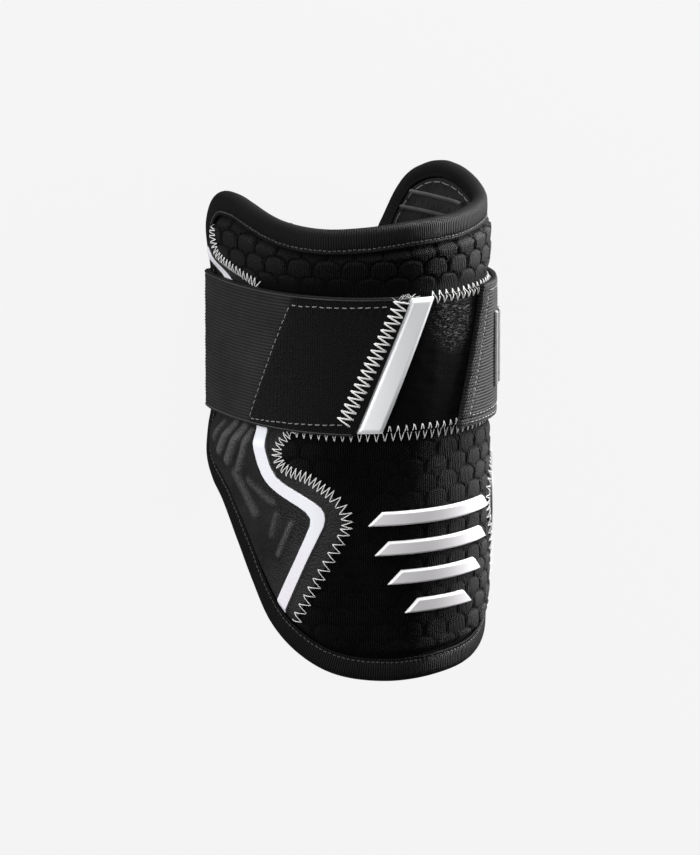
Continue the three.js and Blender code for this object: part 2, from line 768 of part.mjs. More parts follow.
// A material for one kind of piece
function finish(color, roughness, metalness = 0) {
  return new THREE.MeshStandardMaterial({ color, roughness, metalness, side: THREE.DoubleSide });
}
const FINISHES = {
  knit: finish(0x131313, 0.85),
  lining: finish(0x171717, 0.8),
  binding: finish(0x1a1a1a, 0.7),
  panel: finish(0x202020, 0.6),
  stripe: finish(0xe6e6ea, 0.35, 0.2),
  loop: finish(0x101010, 0.95),
  elastic: finish(0x1c1c1c, 0.8),
  woven: finish(0x151515, 0.85),
  label: finish(0xd4d6da, 0.35, 0.3),
  mark: finish(0xe9e5ea, 0.4),
  tabMark: finish(0x8c8c8e, 0.45),
};

// The assembly
const guard = new THREE.Group();
function add(name, geometry, material) {
  const mesh = new THREE.Mesh(geometry, material);
  mesh.name = name;
  guard.add(mesh);
}

add("padded_body", paddedBody(), FINISHES.knit);
add("inner_lining", innerLining(), FINISHES.lining);
add("edge_binding", edgeBinding(), FINISHES.binding);
for (const [name, side] of [["left", -1], ["right", 1]]) {
  add("side_panel_" + name, sidePanel(side), FINISHES.panel);
  add("stripe_" + name, stripe(side), FINISHES.stripe);
}
add("loop_patch", loopPatch(), FINISHES.loop);
add("strap_elastic", strap(), FINISHES.elastic);
add("strap_anchor", strapAnchor(), FINISHES.woven);
add("strap_tab", strapTab(), FINISHES.woven);
add("label", label(), FINISHES.label);
FRONT_MARKS.forEach((row, i) => {
  const bar = raisedBar(
    FRONT_MARK_GIRTH * HALF_GIRTH,
    row.along * TONGUE_REACH,
    row.wide * HALF_GIRTH,
    FRONT_MARK_HEIGHT,
    (girth, along) => padOuter(girth, along) + GAP,
    MARK_THICKNESS,
    FRONT_MARK_HEIGHT,
  );
  add("front_mark_" + (i + 1), bar, FINISHES.mark);
});
TAB_MARKS.forEach((share, i) => {
  const bar = raisedBar(
    share * HALF_GIRTH,
    STRAP_MIDDLE,
    TAB_MARK_WIDTH / 2,
    TAB_MARK_LENGTH,
    (girth) => STRAP_BOTTOM + TAB_THICKNESS + GAP - squeeze(girth),
    TAB_MARK_THICKNESS,
    0,
  );
  add("tab_mark_" + (i + 1), bar, FINISHES.tabMark);
});

export default guard;
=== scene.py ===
# The looks of a batter's elbow guard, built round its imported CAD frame.
# Lengths are millimetres in the cuff's flat layout: "girth" round it from the crown line, positive to +X,
# "along" up the arm from the elbow line, and "depth" above the cuff's outer face. Meshes are in metres.
import math

import bpy
import numpy as np
from mathutils import Matrix


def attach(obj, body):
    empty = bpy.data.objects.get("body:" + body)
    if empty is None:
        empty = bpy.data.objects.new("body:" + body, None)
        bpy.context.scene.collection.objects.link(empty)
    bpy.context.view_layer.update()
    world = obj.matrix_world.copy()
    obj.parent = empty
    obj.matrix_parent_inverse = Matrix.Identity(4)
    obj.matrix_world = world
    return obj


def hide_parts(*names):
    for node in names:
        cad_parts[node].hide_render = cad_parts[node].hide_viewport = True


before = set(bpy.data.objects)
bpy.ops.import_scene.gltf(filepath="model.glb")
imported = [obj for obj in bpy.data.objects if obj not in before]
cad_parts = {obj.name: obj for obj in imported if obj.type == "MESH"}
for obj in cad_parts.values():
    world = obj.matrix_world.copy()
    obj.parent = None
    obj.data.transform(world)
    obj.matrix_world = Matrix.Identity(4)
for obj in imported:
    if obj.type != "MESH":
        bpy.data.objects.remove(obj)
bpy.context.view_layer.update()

# Padded body
# A foam and shell cuff under a moulded knit cover, bent round the arm, with a tongue over the elbow.
# The cover is pressed into overlapping scales with rounded tops, and its knit runs up the arm in fine ribs.
MM = 0.001
CROWN_RADIUS = 52.0
FLANK_STRAIGHT = 5.7
FLANK_RADIUS = 88.0
FLANK_TURN = math.radians(26.1)
CROWN_ARC = CROWN_RADIUS * math.pi / 2
HALF_GIRTH = CROWN_ARC + FLANK_STRAIGHT + FLANK_RADIUS * FLANK_TURN
TOP_REACH = 104.4
TONGUE_REACH = 90.3
PAD_THICKNESS = 7.5
PAD_EDGE_DROP = 2.6
PAD_EDGE_THICKNESS = 2.6
SHOULDER_WIDTH = 3.4
INNER_SHOULDER_WIDTH = 13.0
BINDING_WIDTH = 9.6
BINDING_NOSE = 3.0
BINDING_CLEAR = BINDING_WIDTH + 0.3
EDGE_MIDDLE = -PAD_EDGE_DROP - PAD_EDGE_THICKNESS / 2
STRAP_LOW = 10.0
STRAP_HIGH = 65.0
STRAP_MIDDLE = (STRAP_LOW + STRAP_HIGH) / 2
STRAP_THICKNESS = 2.0
STRAP_BOTTOM = 2.1
STRAP_OVERLAP = 1.5
SQUEEZE_DEPTH = 3.4
SQUEEZE_EASE = 8.0
REAR_SPREAD = 2.2
SPREAD_EASE = 20.0
GAP = 0.3
OUTLINE = [
    (-1, 0.3453), (-1, 0.1154), (-0.997, -0.02), (-0.974, -0.135), (-0.914, -0.213), (-0.834, -0.287),
    (-0.742, -0.445), (-0.663, -0.608), (-0.574, -0.769), (-0.467, -0.886), (-0.345, -0.965), (-0.178, -1),
    (0.014, -0.993), (0.219, -0.956), (0.391, -0.864), (0.489, -0.75), (0.593, -0.602), (0.697, -0.42),
    (0.803, -0.285), (0.9, -0.213), (0.972, -0.135), (0.997, -0.02), (1, 0.1154), (1, 0.3453), (1, 0.592),
    (0.994, 0.6965), (0.98, 0.7449), (0.957, 0.809), (0.928, 0.8652), (0.894, 0.9126), (0.858, 0.9442),
    (0.821, 0.9649), (0.781, 0.9826), (0.739, 0.9935), (0.695, 0.9994), (0.65, 0.9965), (0.602, 0.9876),
    (0.543, 0.9708), (0.449, 0.9452), (0.35, 0.9304), (0.25, 0.9215), (0.17, 0.9136), (0.108, 0.9067),
    (0.03, 0.9027), (-0.08, 0.8958), (-0.237, 0.8781), (-0.36, 0.8692), (-0.458, 0.8751), (-0.539, 0.8889),
    (-0.636, 0.9165), (-0.687, 0.9343), (-0.742, 0.9501), (-0.805, 0.955), (-0.85, 0.9491), (-0.892, 0.9294),
    (-0.93, 0.8958), (-0.963, 0.8485), (-0.988, 0.7745), (-1, 0.592),
]
EDGE_POINTS = 1520
SCALE_WIDTH = 11.3
SCALE_PITCH = 13.2
SCALE_HEIGHT = 1.35
SCALE_CORNER = 3.4
SCALE_SINK = 0.45
PLAIN_FRONT_MIDDLE = -18.0
RELIEF_STEP = 0.66


def ease(low, high, value):
    """0 below low, 1 above high, smooth in between."""
    share = np.clip((np.asarray(value, float) - low) / (high - low), 0, 1)
    return share * share * (3 - 2 * share)


def bend(girth):
    """X and Z of the cuff's outer face from the crown's centre, and the outward direction there."""
    girth = np.asarray(girth, float)
    side = np.where(girth < 0, -1.0, 1.0)
    reach = np.abs(girth)
    on_crown = np.minimum(reach, CROWN_ARC) / CROWN_RADIUS
    straight = np.clip(reach - CROWN_ARC, 0, FLANK_STRAIGHT)
    flank = np.maximum(reach - CROWN_ARC - FLANK_STRAIGHT, 0) / FLANK_RADIUS
    turn = on_crown - math.pi / 2 + flank
    x = CROWN_RADIUS * np.sin(on_crown) - FLANK_RADIUS * (1 - np.cos(flank))
    z = CROWN_RADIUS * np.cos(on_crown) - straight - FLANK_RADIUS * np.sin(flank)
    return side * x, z, side * np.cos(turn), -np.sin(turn)


fold_x, fold_z, fold_out_x, fold_out_z = bend(HALF_GIRTH - BINDING_NOSE)
LIFT = float(BINDING_NOSE - (fold_z + EDGE_MIDDLE * fold_out_z))
fold_turn = math.asin(-fold_out_z)
tucked_turn = math.asin(-fold_out_z - (STRAP_THICKNESS + GAP) / (FLANK_RADIUS + EDGE_MIDDLE))
TUCK = FLANK_RADIUS * (fold_turn - tucked_turn)
REAR_SQUEEZE = STRAP_BOTTOM - (EDGE_MIDDLE + BINDING_NOSE + GAP)


def under_strap(along):
    """1 across the strap, 0 away from it."""
    low = ease(STRAP_LOW - GAP - SQUEEZE_EASE, STRAP_LOW - GAP, along)
    return low * (1 - ease(STRAP_HIGH + GAP, STRAP_HIGH + GAP + SQUEEZE_EASE, along))


def squeeze(girth):
    """How far the strap presses the pad in."""
    reach = np.abs(girth)
    on_flank = SQUEEZE_DEPTH * ease(0.2, 0.6, reach / HALF_GIRTH)
    rear = ease(HALF_GIRTH - BINDING_CLEAR - 2 * SQUEEZE_EASE, HALF_GIRTH - BINDING_CLEAR, reach)
    return on_flank + (REAR_SQUEEZE - on_flank) * rear


def lay(girth, along, depth):
    """Points of the flat layout put in their place on the cuff, in metres."""
    girth, along, depth = np.broadcast_arrays(*(np.asarray(v, float) for v in (girth, along, depth)))
    tucked = TUCK * under_strap(along) * ease(HALF_GIRTH * 0.78, HALF_GIRTH - BINDING_NOSE, np.abs(girth))
    away = np.maximum(STRAP_LOW - GAP - along, along - STRAP_HIGH - GAP)
    spread = REAR_SPREAD * ease(0, SPREAD_EASE, away) * ease(HALF_GIRTH * 0.6, HALF_GIRTH, np.abs(girth))
    x, z, out_x, out_z = bend(girth - np.sign(girth) * tucked)
    x = x + depth * out_x + np.sign(girth) * spread
    place = np.stack([x, along - STRAP_MIDDLE, LIFT + z + depth * out_z], axis=-1)
    return place * MM


def smooth_loop(corners, count):
    """A closed centripetal curve through the corners, as points at even distances."""
    corners = np.array(corners, float)
    knots = [np.roll(corners, 1 - k, axis=0) for k in range(4)]
    steps = [np.linalg.norm(q - p, axis=1) ** 0.5 for p, q in zip(knots, knots[1:])]
    t = [np.zeros(len(corners))]
    for step in steps:
        t.append(t[-1] + step)
    share = np.linspace(0, 1, 24, endpoint=False)
    at = t[1][:, None] + share * (t[2] - t[1])[:, None]

    def blend(p, q, i, j):
        step = (t[j] - t[i])[:, None]
        return ((t[j][:, None] - at) / step)[..., None] * p + ((at - t[i][:, None]) / step)[..., None] * q

    lines = [blend(p[:, None], q[:, None], i, i + 1) for i, (p, q) in enumerate(zip(knots, knots[1:]))]
    curves = [blend(lines[0], lines[1], 0, 2), blend(lines[1], lines[2], 1, 3)]
    fine = blend(curves[0], curves[1], 1, 2).reshape(-1, 2)
    fine = np.concatenate([fine, fine[:1]])
    run = np.concatenate([[0], np.cumsum(np.linalg.norm(np.diff(fine, axis=0), axis=1))])
    at = np.linspace(0, run[-1], count, endpoint=False)
    return np.stack([np.interp(at, run, fine[:, k]) for k in (0, 1)], axis=-1), run[-1]


reaches = [(g * HALF_GIRTH, a * (TOP_REACH if a > 0 else TONGUE_REACH)) for g, a in OUTLINE]
edge, EDGE_LENGTH = smooth_loop(reaches, EDGE_POINTS)
edge[:, 0] = np.clip(edge[:, 0], -HALF_GIRTH, HALF_GIRTH)
edge_run = np.roll(edge, -4, axis=0) - np.roll(edge, 4, axis=0)
edge_run /= np.linalg.norm(edge_run, axis=1)[:, None]
edge_in = np.stack([-edge_run[:, 1], edge_run[:, 0]], axis=-1)


def edge_distance(girth, along):
    """How far points of the flat layout are from the cuff's outline."""
    points = np.stack([np.ravel(girth), np.ravel(along)], axis=-1)
    coarse = edge[::2]
    out = np.empty(len(points))
    for start in range(0, len(points), 8000):
        part = points[start : start + 8000]
        away = (part[:, None, 0] - coarse[None, :, 0]) ** 2 + (part[:, None, 1] - coarse[None, :, 1]) ** 2
        out[start : start + 8000] = np.sqrt(away.min(axis=1))
    return out.reshape(np.shape(girth))


def pad_face(girth, along):
    """Depth of the pad's outer face, without its scales."""
    inside = ease(BINDING_CLEAR, BINDING_CLEAR + SHOULDER_WIDTH, edge_distance(girth, along))
    return -np.maximum(PAD_EDGE_DROP * (1 - inside), squeeze(girth) * under_strap(along))


def pad_inner(distance):
    """Depth of the pad's inner face at a distance from the outline."""
    edge_bottom = -PAD_EDGE_DROP - PAD_EDGE_THICKNESS
    inside = ease(BINDING_CLEAR, BINDING_CLEAR + INNER_SHOULDER_WIDTH, distance)
    return edge_bottom - (PAD_THICKNESS + edge_bottom) * inside


def scale_relief(girth, along):
    """0 in the groove round each moulded scale, 1 on its crest. A scale's top is a rounded square."""
    best_top = np.full(np.shape(girth), 1e9)
    relief = np.zeros(np.shape(girth))
    half = SCALE_WIDTH / 2
    arch = SCALE_PITCH / 2
    for stagger in (0, 1):
        column = np.round((girth - stagger * half) / SCALE_WIDTH) * SCALE_WIDTH + stagger * half
        across = np.abs((girth - column) / half)
        shoulder = arch * (1 - np.clip(1 - across**SCALE_CORNER, 0, 1) ** (1 / SCALE_CORNER))
        base = stagger * arch
        top = np.ceil((along + shoulder - base) / SCALE_PITCH) * SCALE_PITCH + base
        below = (top - along) / arch
        rounded = 1 - (across**SCALE_CORNER + np.clip(1 - below, 0, 2) ** SCALE_CORNER) ** (1 / SCALE_CORNER)
        crest = ease(0, 0.2, rounded) * (1 - 0.7 * ease(0.25, 2.1, below))
        nearer = top < best_top
        relief = np.where(nearer, crest, relief)
        best_top = np.where(nearer, top, best_top)
    return relief


def column_ends(outline, girth):
    """Lowest and highest crossing of a closed outline at each girth."""
    low = np.full(len(girth), 1e9)
    high = np.full(len(girth), -1e9)
    after = np.roll(outline, -1, axis=0)
    for (g0, a0), (g1, a1) in zip(outline, after):
        hit = (girth - g0) * (girth - g1) <= 0
        if g0 == g1 or not hit.any():
            continue
        at = a0 + (a1 - a0) * (girth[hit] - g0) / (g1 - g0)
        low[hit] = np.minimum(low[hit], at)
        high[hit] = np.maximum(high[hit], at)
    return low, high


def sewn_piece(name, girth, along, top, bottom, rim, coarse=12, crest=None, inward=False, place=lay):
    """A closed piece of cloth or foam: a fine face, a rounded edge and a plain back.
    girth, along, top and bottom are grids, rows running up the arm and columns round the cuff.
    The fine face looks out, or towards the arm where the piece is inward."""
    rows, columns = girth.shape
    side = -1 if inward else 1
    ring = [(0, j) for j in range(columns - 1)] + [(i, columns - 1) for i in range(rows - 1)]
    ring += [(rows - 1, j) for j in range(columns - 1, 0, -1)] + [(i, 0) for i in range(rows - 1, 0, -1)]
    ri, rj = np.array(ring).T
    loop = np.stack([girth[ri, rj], along[ri, rj]], axis=-1)
    run = np.roll(loop, -1, axis=0) - np.roll(loop, 1, axis=0)
    run /= np.maximum(np.linalg.norm(run, axis=1), 1e-9)[:, None]
    out = np.stack([run[:, 1], -run[:, 0]], axis=-1)
    face = side * top[ri, rj]
    flats = [np.stack([girth.ravel(), along.ravel()], axis=-1)]
    depths = [side * top.ravel()]
    for turn in (35, 65, 90):
        flats.append(loop + rim * math.sin(math.radians(turn)) * out)
        depths.append(face - rim * (1 - math.cos(math.radians(turn))))
    flats.append(loop + rim * out)
    depths.append(np.minimum(side * bottom[ri, rj], face - rim - 0.02))
    back_rows = sorted({*range(0, rows, coarse), rows - 1})
    back_columns = sorted({*range(0, columns, coarse), columns - 1})
    inner = [(i, j) for i in back_rows[1:-1] for j in back_columns[1:-1]]
    if inner:
        bi, bj = np.array(inner).T
        flats.append(np.stack([girth[bi, bj], along[bi, bj]], axis=-1))
        depths.append(side * bottom[bi, bj])
    flat = np.concatenate(flats)
    points = place(flat[:, 0], flat[:, 1], side * np.concatenate(depths))
    number = np.arange(rows * columns).reshape(rows, columns)
    quads = np.stack([number[:-1, :-1], number[:-1, 1:], number[1:, 1:], number[1:, :-1]], axis=-1)
    faces = quads.reshape(-1, 4).tolist()
    size = len(ring)
    rings = [number[ri, rj]] + [rows * columns + k * size + np.arange(size) for k in range(4)]
    for upper, lower in zip(rings, rings[1:]):
        faces += np.stack([upper, lower, np.roll(lower, -1), np.roll(upper, -1)], axis=-1).tolist()
    back = {spot: int(rings[-1][k]) for k, spot in enumerate(ring)}
    back.update({spot: rows * columns + 4 * size + k for k, spot in enumerate(inner)})
    for i0, i1 in zip(back_rows, back_rows[1:]):
        for j0, j1 in zip(back_columns, back_columns[1:]):
            low = range(j0, j1) if i0 == 0 else [j0]
            right = range(i0, i1) if j1 == columns - 1 else [i0]
            high = range(j1, j0, -1) if i1 == rows - 1 else [j1]
            left = range(i1, i0, -1) if j0 == 0 else [i1]
            walk = [(i0, j) for j in low] + [(i, j1) for i in right]
            walk += [(i1, j) for j in high] + [(i, j0) for i in left]
            faces.append([back[spot] for spot in reversed(walk)])
    if inward:
        faces = [corners[::-1] for corners in faces]
    crests = None
    if crest is not None:
        crests = np.concatenate([crest.ravel(), np.zeros(len(points) - rows * columns)])
    return piece_of(name, points, faces, flat, crests)


def piece_of(name, points, faces, flat, crests=None):
    """A smooth mesh object whose UVs are its flat layout in metres. crests mark its raised places."""
    mesh = bpy.data.meshes.new(name)
    mesh.from_pydata(np.asarray(points).tolist(), [], faces)
    mesh.polygons.foreach_set("use_smooth", np.ones(len(mesh.polygons), bool))
    corner = np.empty(len(mesh.loops), int)
    mesh.loops.foreach_get("vertex_index", corner)
    layer = mesh.uv_layers.new(name="flat")
    layer.data.foreach_set("uv", (np.asarray(flat)[corner] * MM).ravel())
    if crests is not None:
        mesh.attributes.new("crest", "FLOAT", "POINT").data.foreach_set("value", crests)
    mesh.update()
    piece = bpy.data.objects.new(name, mesh)
    bpy.context.scene.collection.objects.link(piece)
    return piece


def add_node(tree, kind, inputs=(), **settings):
    """A shader node. Each input is a value, or the socket that feeds it."""
    node = tree.nodes.new(kind)
    for key, value in settings.items():
        setattr(node, key, value)
    for key, value in dict(inputs).items():
        if isinstance(value, bpy.types.NodeSocket):
            tree.links.new(value, node.inputs[key])
        else:
            node.inputs[key].default_value = value
    return node


def sums(tree, operation, *values):
    """The result of one Math node."""
    return add_node(tree, "ShaderNodeMath", dict(enumerate(values)), operation=operation).outputs[0]


def noise(tree, place, scale, detail, **given):
    """Grey noise with scale bumps to a millimetre."""
    given.update(Vector=place, Scale=scale, Detail=detail)
    return add_node(tree, "ShaderNodeTexNoise", given).outputs["Fac"]


def stretched(tree, value, low, high, start=0.0, end=1.0):
    """Where a value lies from low to high, given as start to end."""
    limits = {"Value": value, "From Min": low, "From Max": high, "To Min": start, "To Max": end}
    return add_node(tree, "ShaderNodeMapRange", limits).outputs[0]


def mixed(tree, share, first, second):
    """Two colours mixed."""
    colours = {"Factor": share, 6: first, 7: second}
    return add_node(tree, "ShaderNodeMix", colours, data_type="RGBA").outputs[2]


def new_group(name, inputs, outputs):
    """An empty shader node group. inputs gives each socket's default; a tuple makes a vector or a colour."""
    tree = bpy.data.node_groups.new(name, "ShaderNodeTree")
    for label, default in inputs.items():
        kind = "NodeSocketFloat"
        if isinstance(default, tuple):
            kind = "NodeSocketVector" if len(default) == 3 else "NodeSocketColor"
        socket = tree.interface.new_socket(label, in_out="INPUT", socket_type=kind)
        socket.default_value = default
    for label, kind in outputs.items():
        tree.interface.new_socket(label, in_out="OUTPUT", socket_type=kind)
    return tree, tree.nodes.new("NodeGroupInput").outputs, tree.nodes.new("NodeGroupOutput").inputs


def threads_group():
    """Fine parallel threads with a little wander: across them is X of Flat, in millimetres."""
    labels = {"Flat": (0.0, 0.0, 0.0), "Pitch": 1.0, "Course Pitch": 1.0, "Course Depth": 0.3, "Wander": 0.1}
    tree, given, out = new_group("threads", labels, {"Height": "NodeSocketFloat"})
    parts = add_node(tree, "ShaderNodeSeparateXYZ", {0: given["Flat"]}).outputs
    drift = sums(tree, "SUBTRACT", noise(tree, given["Flat"], 0.35, 2.0), 0.5)
    shift = sums(tree, "MULTIPLY", drift, given["Wander"])
    across = sums(tree, "DIVIDE", sums(tree, "ADD", parts[0], shift), given["Pitch"])
    rib = sums(tree, "ABSOLUTE", sums(tree, "SINE", sums(tree, "MULTIPLY", across, math.pi)))
    down = sums(tree, "DIVIDE", parts[1], given["Course Pitch"])
    stagger = sums(tree, "MULTIPLY", sums(tree, "FLOOR", across), 0.5)
    wave = sums(tree, "MULTIPLY", sums(tree, "ADD", down, stagger), math.pi)
    course = sums(tree, "ABSOLUTE", sums(tree, "SINE", wave))
    weighed = sums(tree, "MULTIPLY", sums(tree, "SUBTRACT", course, 1.0), given["Course Depth"])
    tree.links.new(sums(tree, "ADD", sums(tree, "POWER", rib, 0.7), weighed), out["Height"])
    return tree


def cloth_group():
    """Cloth colour: painted shade darkens its hollows, and it turns paler with lint, with random patches
    and where Crest marks it, which on the knit and the side cloth is a painted highlight.
    Speck breaks the crests up into specks."""
    labels = {
        "Flat": (0.0, 0.0, 0.0),
        "Colour": (0.02, 0.02, 0.02, 1.0),
        "Worn": (0.05, 0.05, 0.05, 1.0),
        "Height": 0.5,
        "Crest": 0.5,
        "Lint": 0.3,
        "Rough": 0.86,
        "Speck": 0.0,
    }
    results = {"Colour": "NodeSocketColor", "Roughness": "NodeSocketFloat"}
    tree, given, out = new_group("cloth colour", labels, results)
    specks = noise(tree, given["Flat"], 2.6, 2.0)
    spread = stretched(tree, noise(tree, given["Flat"], 0.045, 5.0), 0.38, 0.68)
    lint = stretched(tree, specks, 0.5, 0.8)
    # Painted highlight: where Crest marks it the cloth turns paler, broken up into specks.
    broken = sums(tree, "MULTIPLY_ADD", stretched(tree, specks, 0.42, 0.68, -1.0, 1.2), given["Speck"], 1.0)
    crest = sums(tree, "MULTIPLY", sums(tree, "MULTIPLY", given["Crest"], 0.3), broken)
    amount = sums(tree, "MULTIPLY", sums(tree, "ADD", spread, lint), given["Lint"])
    pale_mix = sums(tree, "MINIMUM", sums(tree, "ADD", amount, crest), 1.0)
    colour = mixed(tree, pale_mix, given["Colour"], given["Worn"])
    # Painted shade: the colour is darkened in the hollows that Height gives.
    shade = sums(tree, "MULTIPLY_ADD", given["Height"], 0.65, 0.35)
    shades = add_node(tree, "ShaderNodeCombineXYZ", {0: shade, 1: shade, 2: shade}).outputs[0]
    dark = add_node(tree, "ShaderNodeVectorMath", {0: colour, 1: shades}, operation="MULTIPLY").outputs[0]
    tree.links.new(dark, out["Colour"])
    tree.links.new(sums(tree, "MULTIPLY_ADD", spread, -0.12, given["Rough"]), out["Roughness"])
    return tree


def new_material(name, **fixed):
    """A material with one Principled shader, whose fixed values are set on its own sockets."""
    material = bpy.data.materials.new(name)
    material.use_nodes = True
    tree = material.node_tree
    shader = tree.nodes["Principled BSDF"]
    for label, value in fixed.items():
        shader.inputs[label.replace("_", " ")].default_value = value
    return material, tree, shader


def flat_place(tree, turn=0.0, stretch=(1.0, 1.0, 1.0)):
    """The flat layout in millimetres, turned and stretched."""
    uv = add_node(tree, "ShaderNodeUVMap", uv_map="flat").outputs[0]
    given = {"Vector": uv, "Rotation": (0, 0, turn), "Scale": tuple(1 / MM * s for s in stretch)}
    return add_node(tree, "ShaderNodeMapping", given).outputs[0]


def bump(tree, height, distance):
    """A normal from a height, distance in millimetres."""
    return add_node(tree, "ShaderNodeBump", {"Height": height, "Distance": distance * MM}).outputs[0]


THREADS = threads_group()
CLOTH = cloth_group()


def threads_height(tree, flat, pitch, course, course_depth, wander):
    """The height of the threads at a place of the flat layout."""
    given = {"Flat": flat, "Pitch": pitch, "Course Pitch": course}
    given.update({"Course Depth": course_depth, "Wander": wander})
    return add_node(tree, "ShaderNodeGroup", given, node_tree=THREADS).outputs["Height"]


def cloth_colour(tree, flat, height, colour, pale_mix, **given):
    """The cloth colour and roughness at a place of the flat layout."""
    given.update(Flat=flat, Height=height, Colour=(*colour, 1), Worn=(*pale_mix, 1))
    return add_node(tree, "ShaderNodeGroup", given, node_tree=CLOTH).outputs


def crest_mark(tree):
    """The mark that a mesh carries for its raised and rubbed places."""
    return add_node(tree, "ShaderNodeAttribute", attribute_name="crest").outputs["Fac"]


def feed(tree, shader, **sockets):
    """Links sockets to the shader's inputs of the same names."""
    for label, socket in sockets.items():
        tree.links.new(socket, shader.inputs[label.replace("_", " ")])


def cloth_material(
    name, colour, pale_mix, pitch, course, depth, lint=0.3, turn=0.0, wander=0.4, course_depth=0.3, sheen=0.1,
    crest=False, specular=0.2, rough=0.86, speck=0.0,
):
    """Threads of the given pitch, lit as cloth. depth is the threads' own relief in millimetres."""
    material, tree, shader = new_material(
        name, Sheen_Weight=sheen, Sheen_Roughness=0.35, Sheen_Tint=(1, 1, 1, 1), Specular_IOR_Level=specular
    )
    flat = flat_place(tree, turn)
    height = threads_height(tree, flat, pitch, course, course_depth, wander)
    marks = {"Crest": crest_mark(tree)} if crest else {}
    # The cloth colour carries painted shade in the threads' hollows.
    tint = cloth_colour(tree, flat, height, colour, pale_mix, Lint=lint, Rough=rough, Speck=speck, **marks)
    normal = bump(tree, height, depth)
    feed(tree, shader, Base_Color=tint["Colour"], Roughness=tint["Roughness"], Normal=normal)
    return material


def finish_piece(piece, material, slot, *replaced):
    """Gives a piece its material, hangs it on the root body and hides the parts of the frame it replaces."""
    piece.data.materials.append(material)
    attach(piece, "root")
    if replaced:
        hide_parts(*replaced)


KNIT_ROWS = (148, 7, 60)
reach = edge[:, 0].max() - BINDING_NOSE - 0.6
body_girth = np.linspace(-reach, reach, int(2 * reach / RELIEF_STEP))
low_end, high_end = column_ends(edge + (BINDING_NOSE + 0.5) * edge_in, body_girth)
strap_from = np.clip(STRAP_LOW + STRAP_OVERLAP, low_end + 4, high_end - 8)
strap_to = np.clip(STRAP_HIGH - STRAP_OVERLAP, low_end + 8, high_end - 4)
borders = [low_end, strap_from, strap_to, high_end]
body_along = [
    low + (high - low) * np.linspace(0, 1, rows, endpoint=False)[:, None]
    for low, high, rows in zip(borders, borders[1:], KNIT_ROWS)
]
body_along = np.concatenate([*body_along, high_end[None, :]])
body_girth = np.broadcast_to(body_girth, body_along.shape)
body_edge = edge_distance(body_girth, body_along)
on_front = (1 - ease(20, 52, np.abs(body_girth - PLAIN_FRONT_MIDDLE))) * (1 - ease(0, 12, body_along))
showing = ease(BINDING_CLEAR - 0.5, BINDING_CLEAR + 1.6, body_edge) * (1 - under_strap(body_along))
showing *= 1 - 0.7 * on_front
# Painted highlight: the crests of the scales are painted paler, most on the right flank, a little on the
# left.
painted_side_highlight = 0.03 + 1.3 * ease(-2, 28, body_girth) + 0.3 * ease(35, 80, -body_girth)
scales = scale_relief(body_girth, body_along)
body_top = pad_face(body_girth, body_along) + showing * SCALE_HEIGHT * (scales - SCALE_SINK)
knit_body = sewn_piece(
    "knit_body", body_girth, body_along, body_top, pad_inner(body_edge) + 0.1, rim=0.8,
    crest=painted_side_highlight * showing * scales**2,
)
# The knit's paler colour is what its painted crest highlights are painted with.
knit = cloth_material(
    "moulded knit", (0.002, 0.002, 0.0021), (0.2, 0.2, 0.204), pitch=0.9, course=0.8, depth=0.4, lint=0.01,
    wander=1.2, course_depth=0.6, sheen=0.01, crest=True, specular=0.03, rough=0.6, speck=0.9,
)
finish_piece(knit_body, knit, "knit", "padded_body")

# Inner lining
# Brushed tricot against the arm, punched with staggered slots and cut back from the edge.
# Two welded ridges cross each upper corner, and one row of loose grey stitches holds it by the binding.
def rows_between(outline, girth, count):
    """A grid of columns at the given girths, each from the outline's lowest to its highest point."""
    low, high = column_ends(outline, girth)
    share = np.linspace(0, 1, count)[:, None]
    return np.broadcast_to(girth, (count, len(girth))), low + (high - low) * share


TAPE_INNER_WIDTH = 6.6
LINING_DEPTH = 1.5
SLOT_PITCH = (5.0, 4.4)
lining_outline = edge + (TAPE_INNER_WIDTH + 0.9) * edge_in
lining_reach = lining_outline[:, 0].max() - 0.1
lining_girth, lining_along = rows_between(lining_outline, np.linspace(-lining_reach, lining_reach, 170), 120)
under_lining = pad_inner(edge_distance(lining_girth, lining_along))
tricot_lining = sewn_piece(
    "tricot_lining", lining_girth, lining_along, under_lining - LINING_DEPTH, under_lining - 0.35, rim=0.4,
    coarse=10, inward=True,
)


def thread_piece(name, legs, radius, place=lay, sides=6, flatten=0.8):
    """Short lengths of thread in one mesh. legs is an array of legs, stations and girth, along, depth."""
    legs = np.asarray(legs, float)
    count, stations = legs.shape[:2]
    centre = place(legs[..., 0], legs[..., 1], legs[..., 2])
    above = place(legs[..., 0], legs[..., 1], legs[..., 2] + 1) - centre
    run = np.gradient(centre, axis=1)
    run /= np.linalg.norm(run, axis=-1, keepdims=True)
    across = np.cross(run, above)
    across /= np.linalg.norm(across, axis=-1, keepdims=True)
    up = np.cross(across, run)
    taper = np.ones(stations)
    taper[[0, -1]] = 0.45
    turn = np.arange(sides) / sides * 2 * math.pi
    ring = across[:, :, None] * np.cos(turn)[:, None] + up[:, :, None] * (flatten * np.sin(turn))[:, None]
    points = centre[:, :, None] + ring * (radius * MM * taper)[None, :, None, None]
    number = np.arange(count * stations * sides).reshape(count, stations, sides)
    after = np.roll(number, -1, axis=2)
    faces = np.stack([number[:, :-1], after[:, :-1], after[:, 1:], number[:, 1:]], axis=-1)
    faces = faces.reshape(-1, 4).tolist() + number[:, 0, ::-1].tolist() + number[:, -1].tolist()
    pieces = np.linalg.norm(np.diff(centre, axis=1), axis=-1)
    length = np.concatenate([np.zeros((count, 1)), np.cumsum(pieces, axis=1)], 1)
    flat = np.empty((count, stations, sides, 2))
    flat[..., 0] = length[..., None] / MM
    flat[..., 1] = turn * radius
    return piece_of(name, points.reshape(-1, 3), faces, flat.reshape(-1, 2))


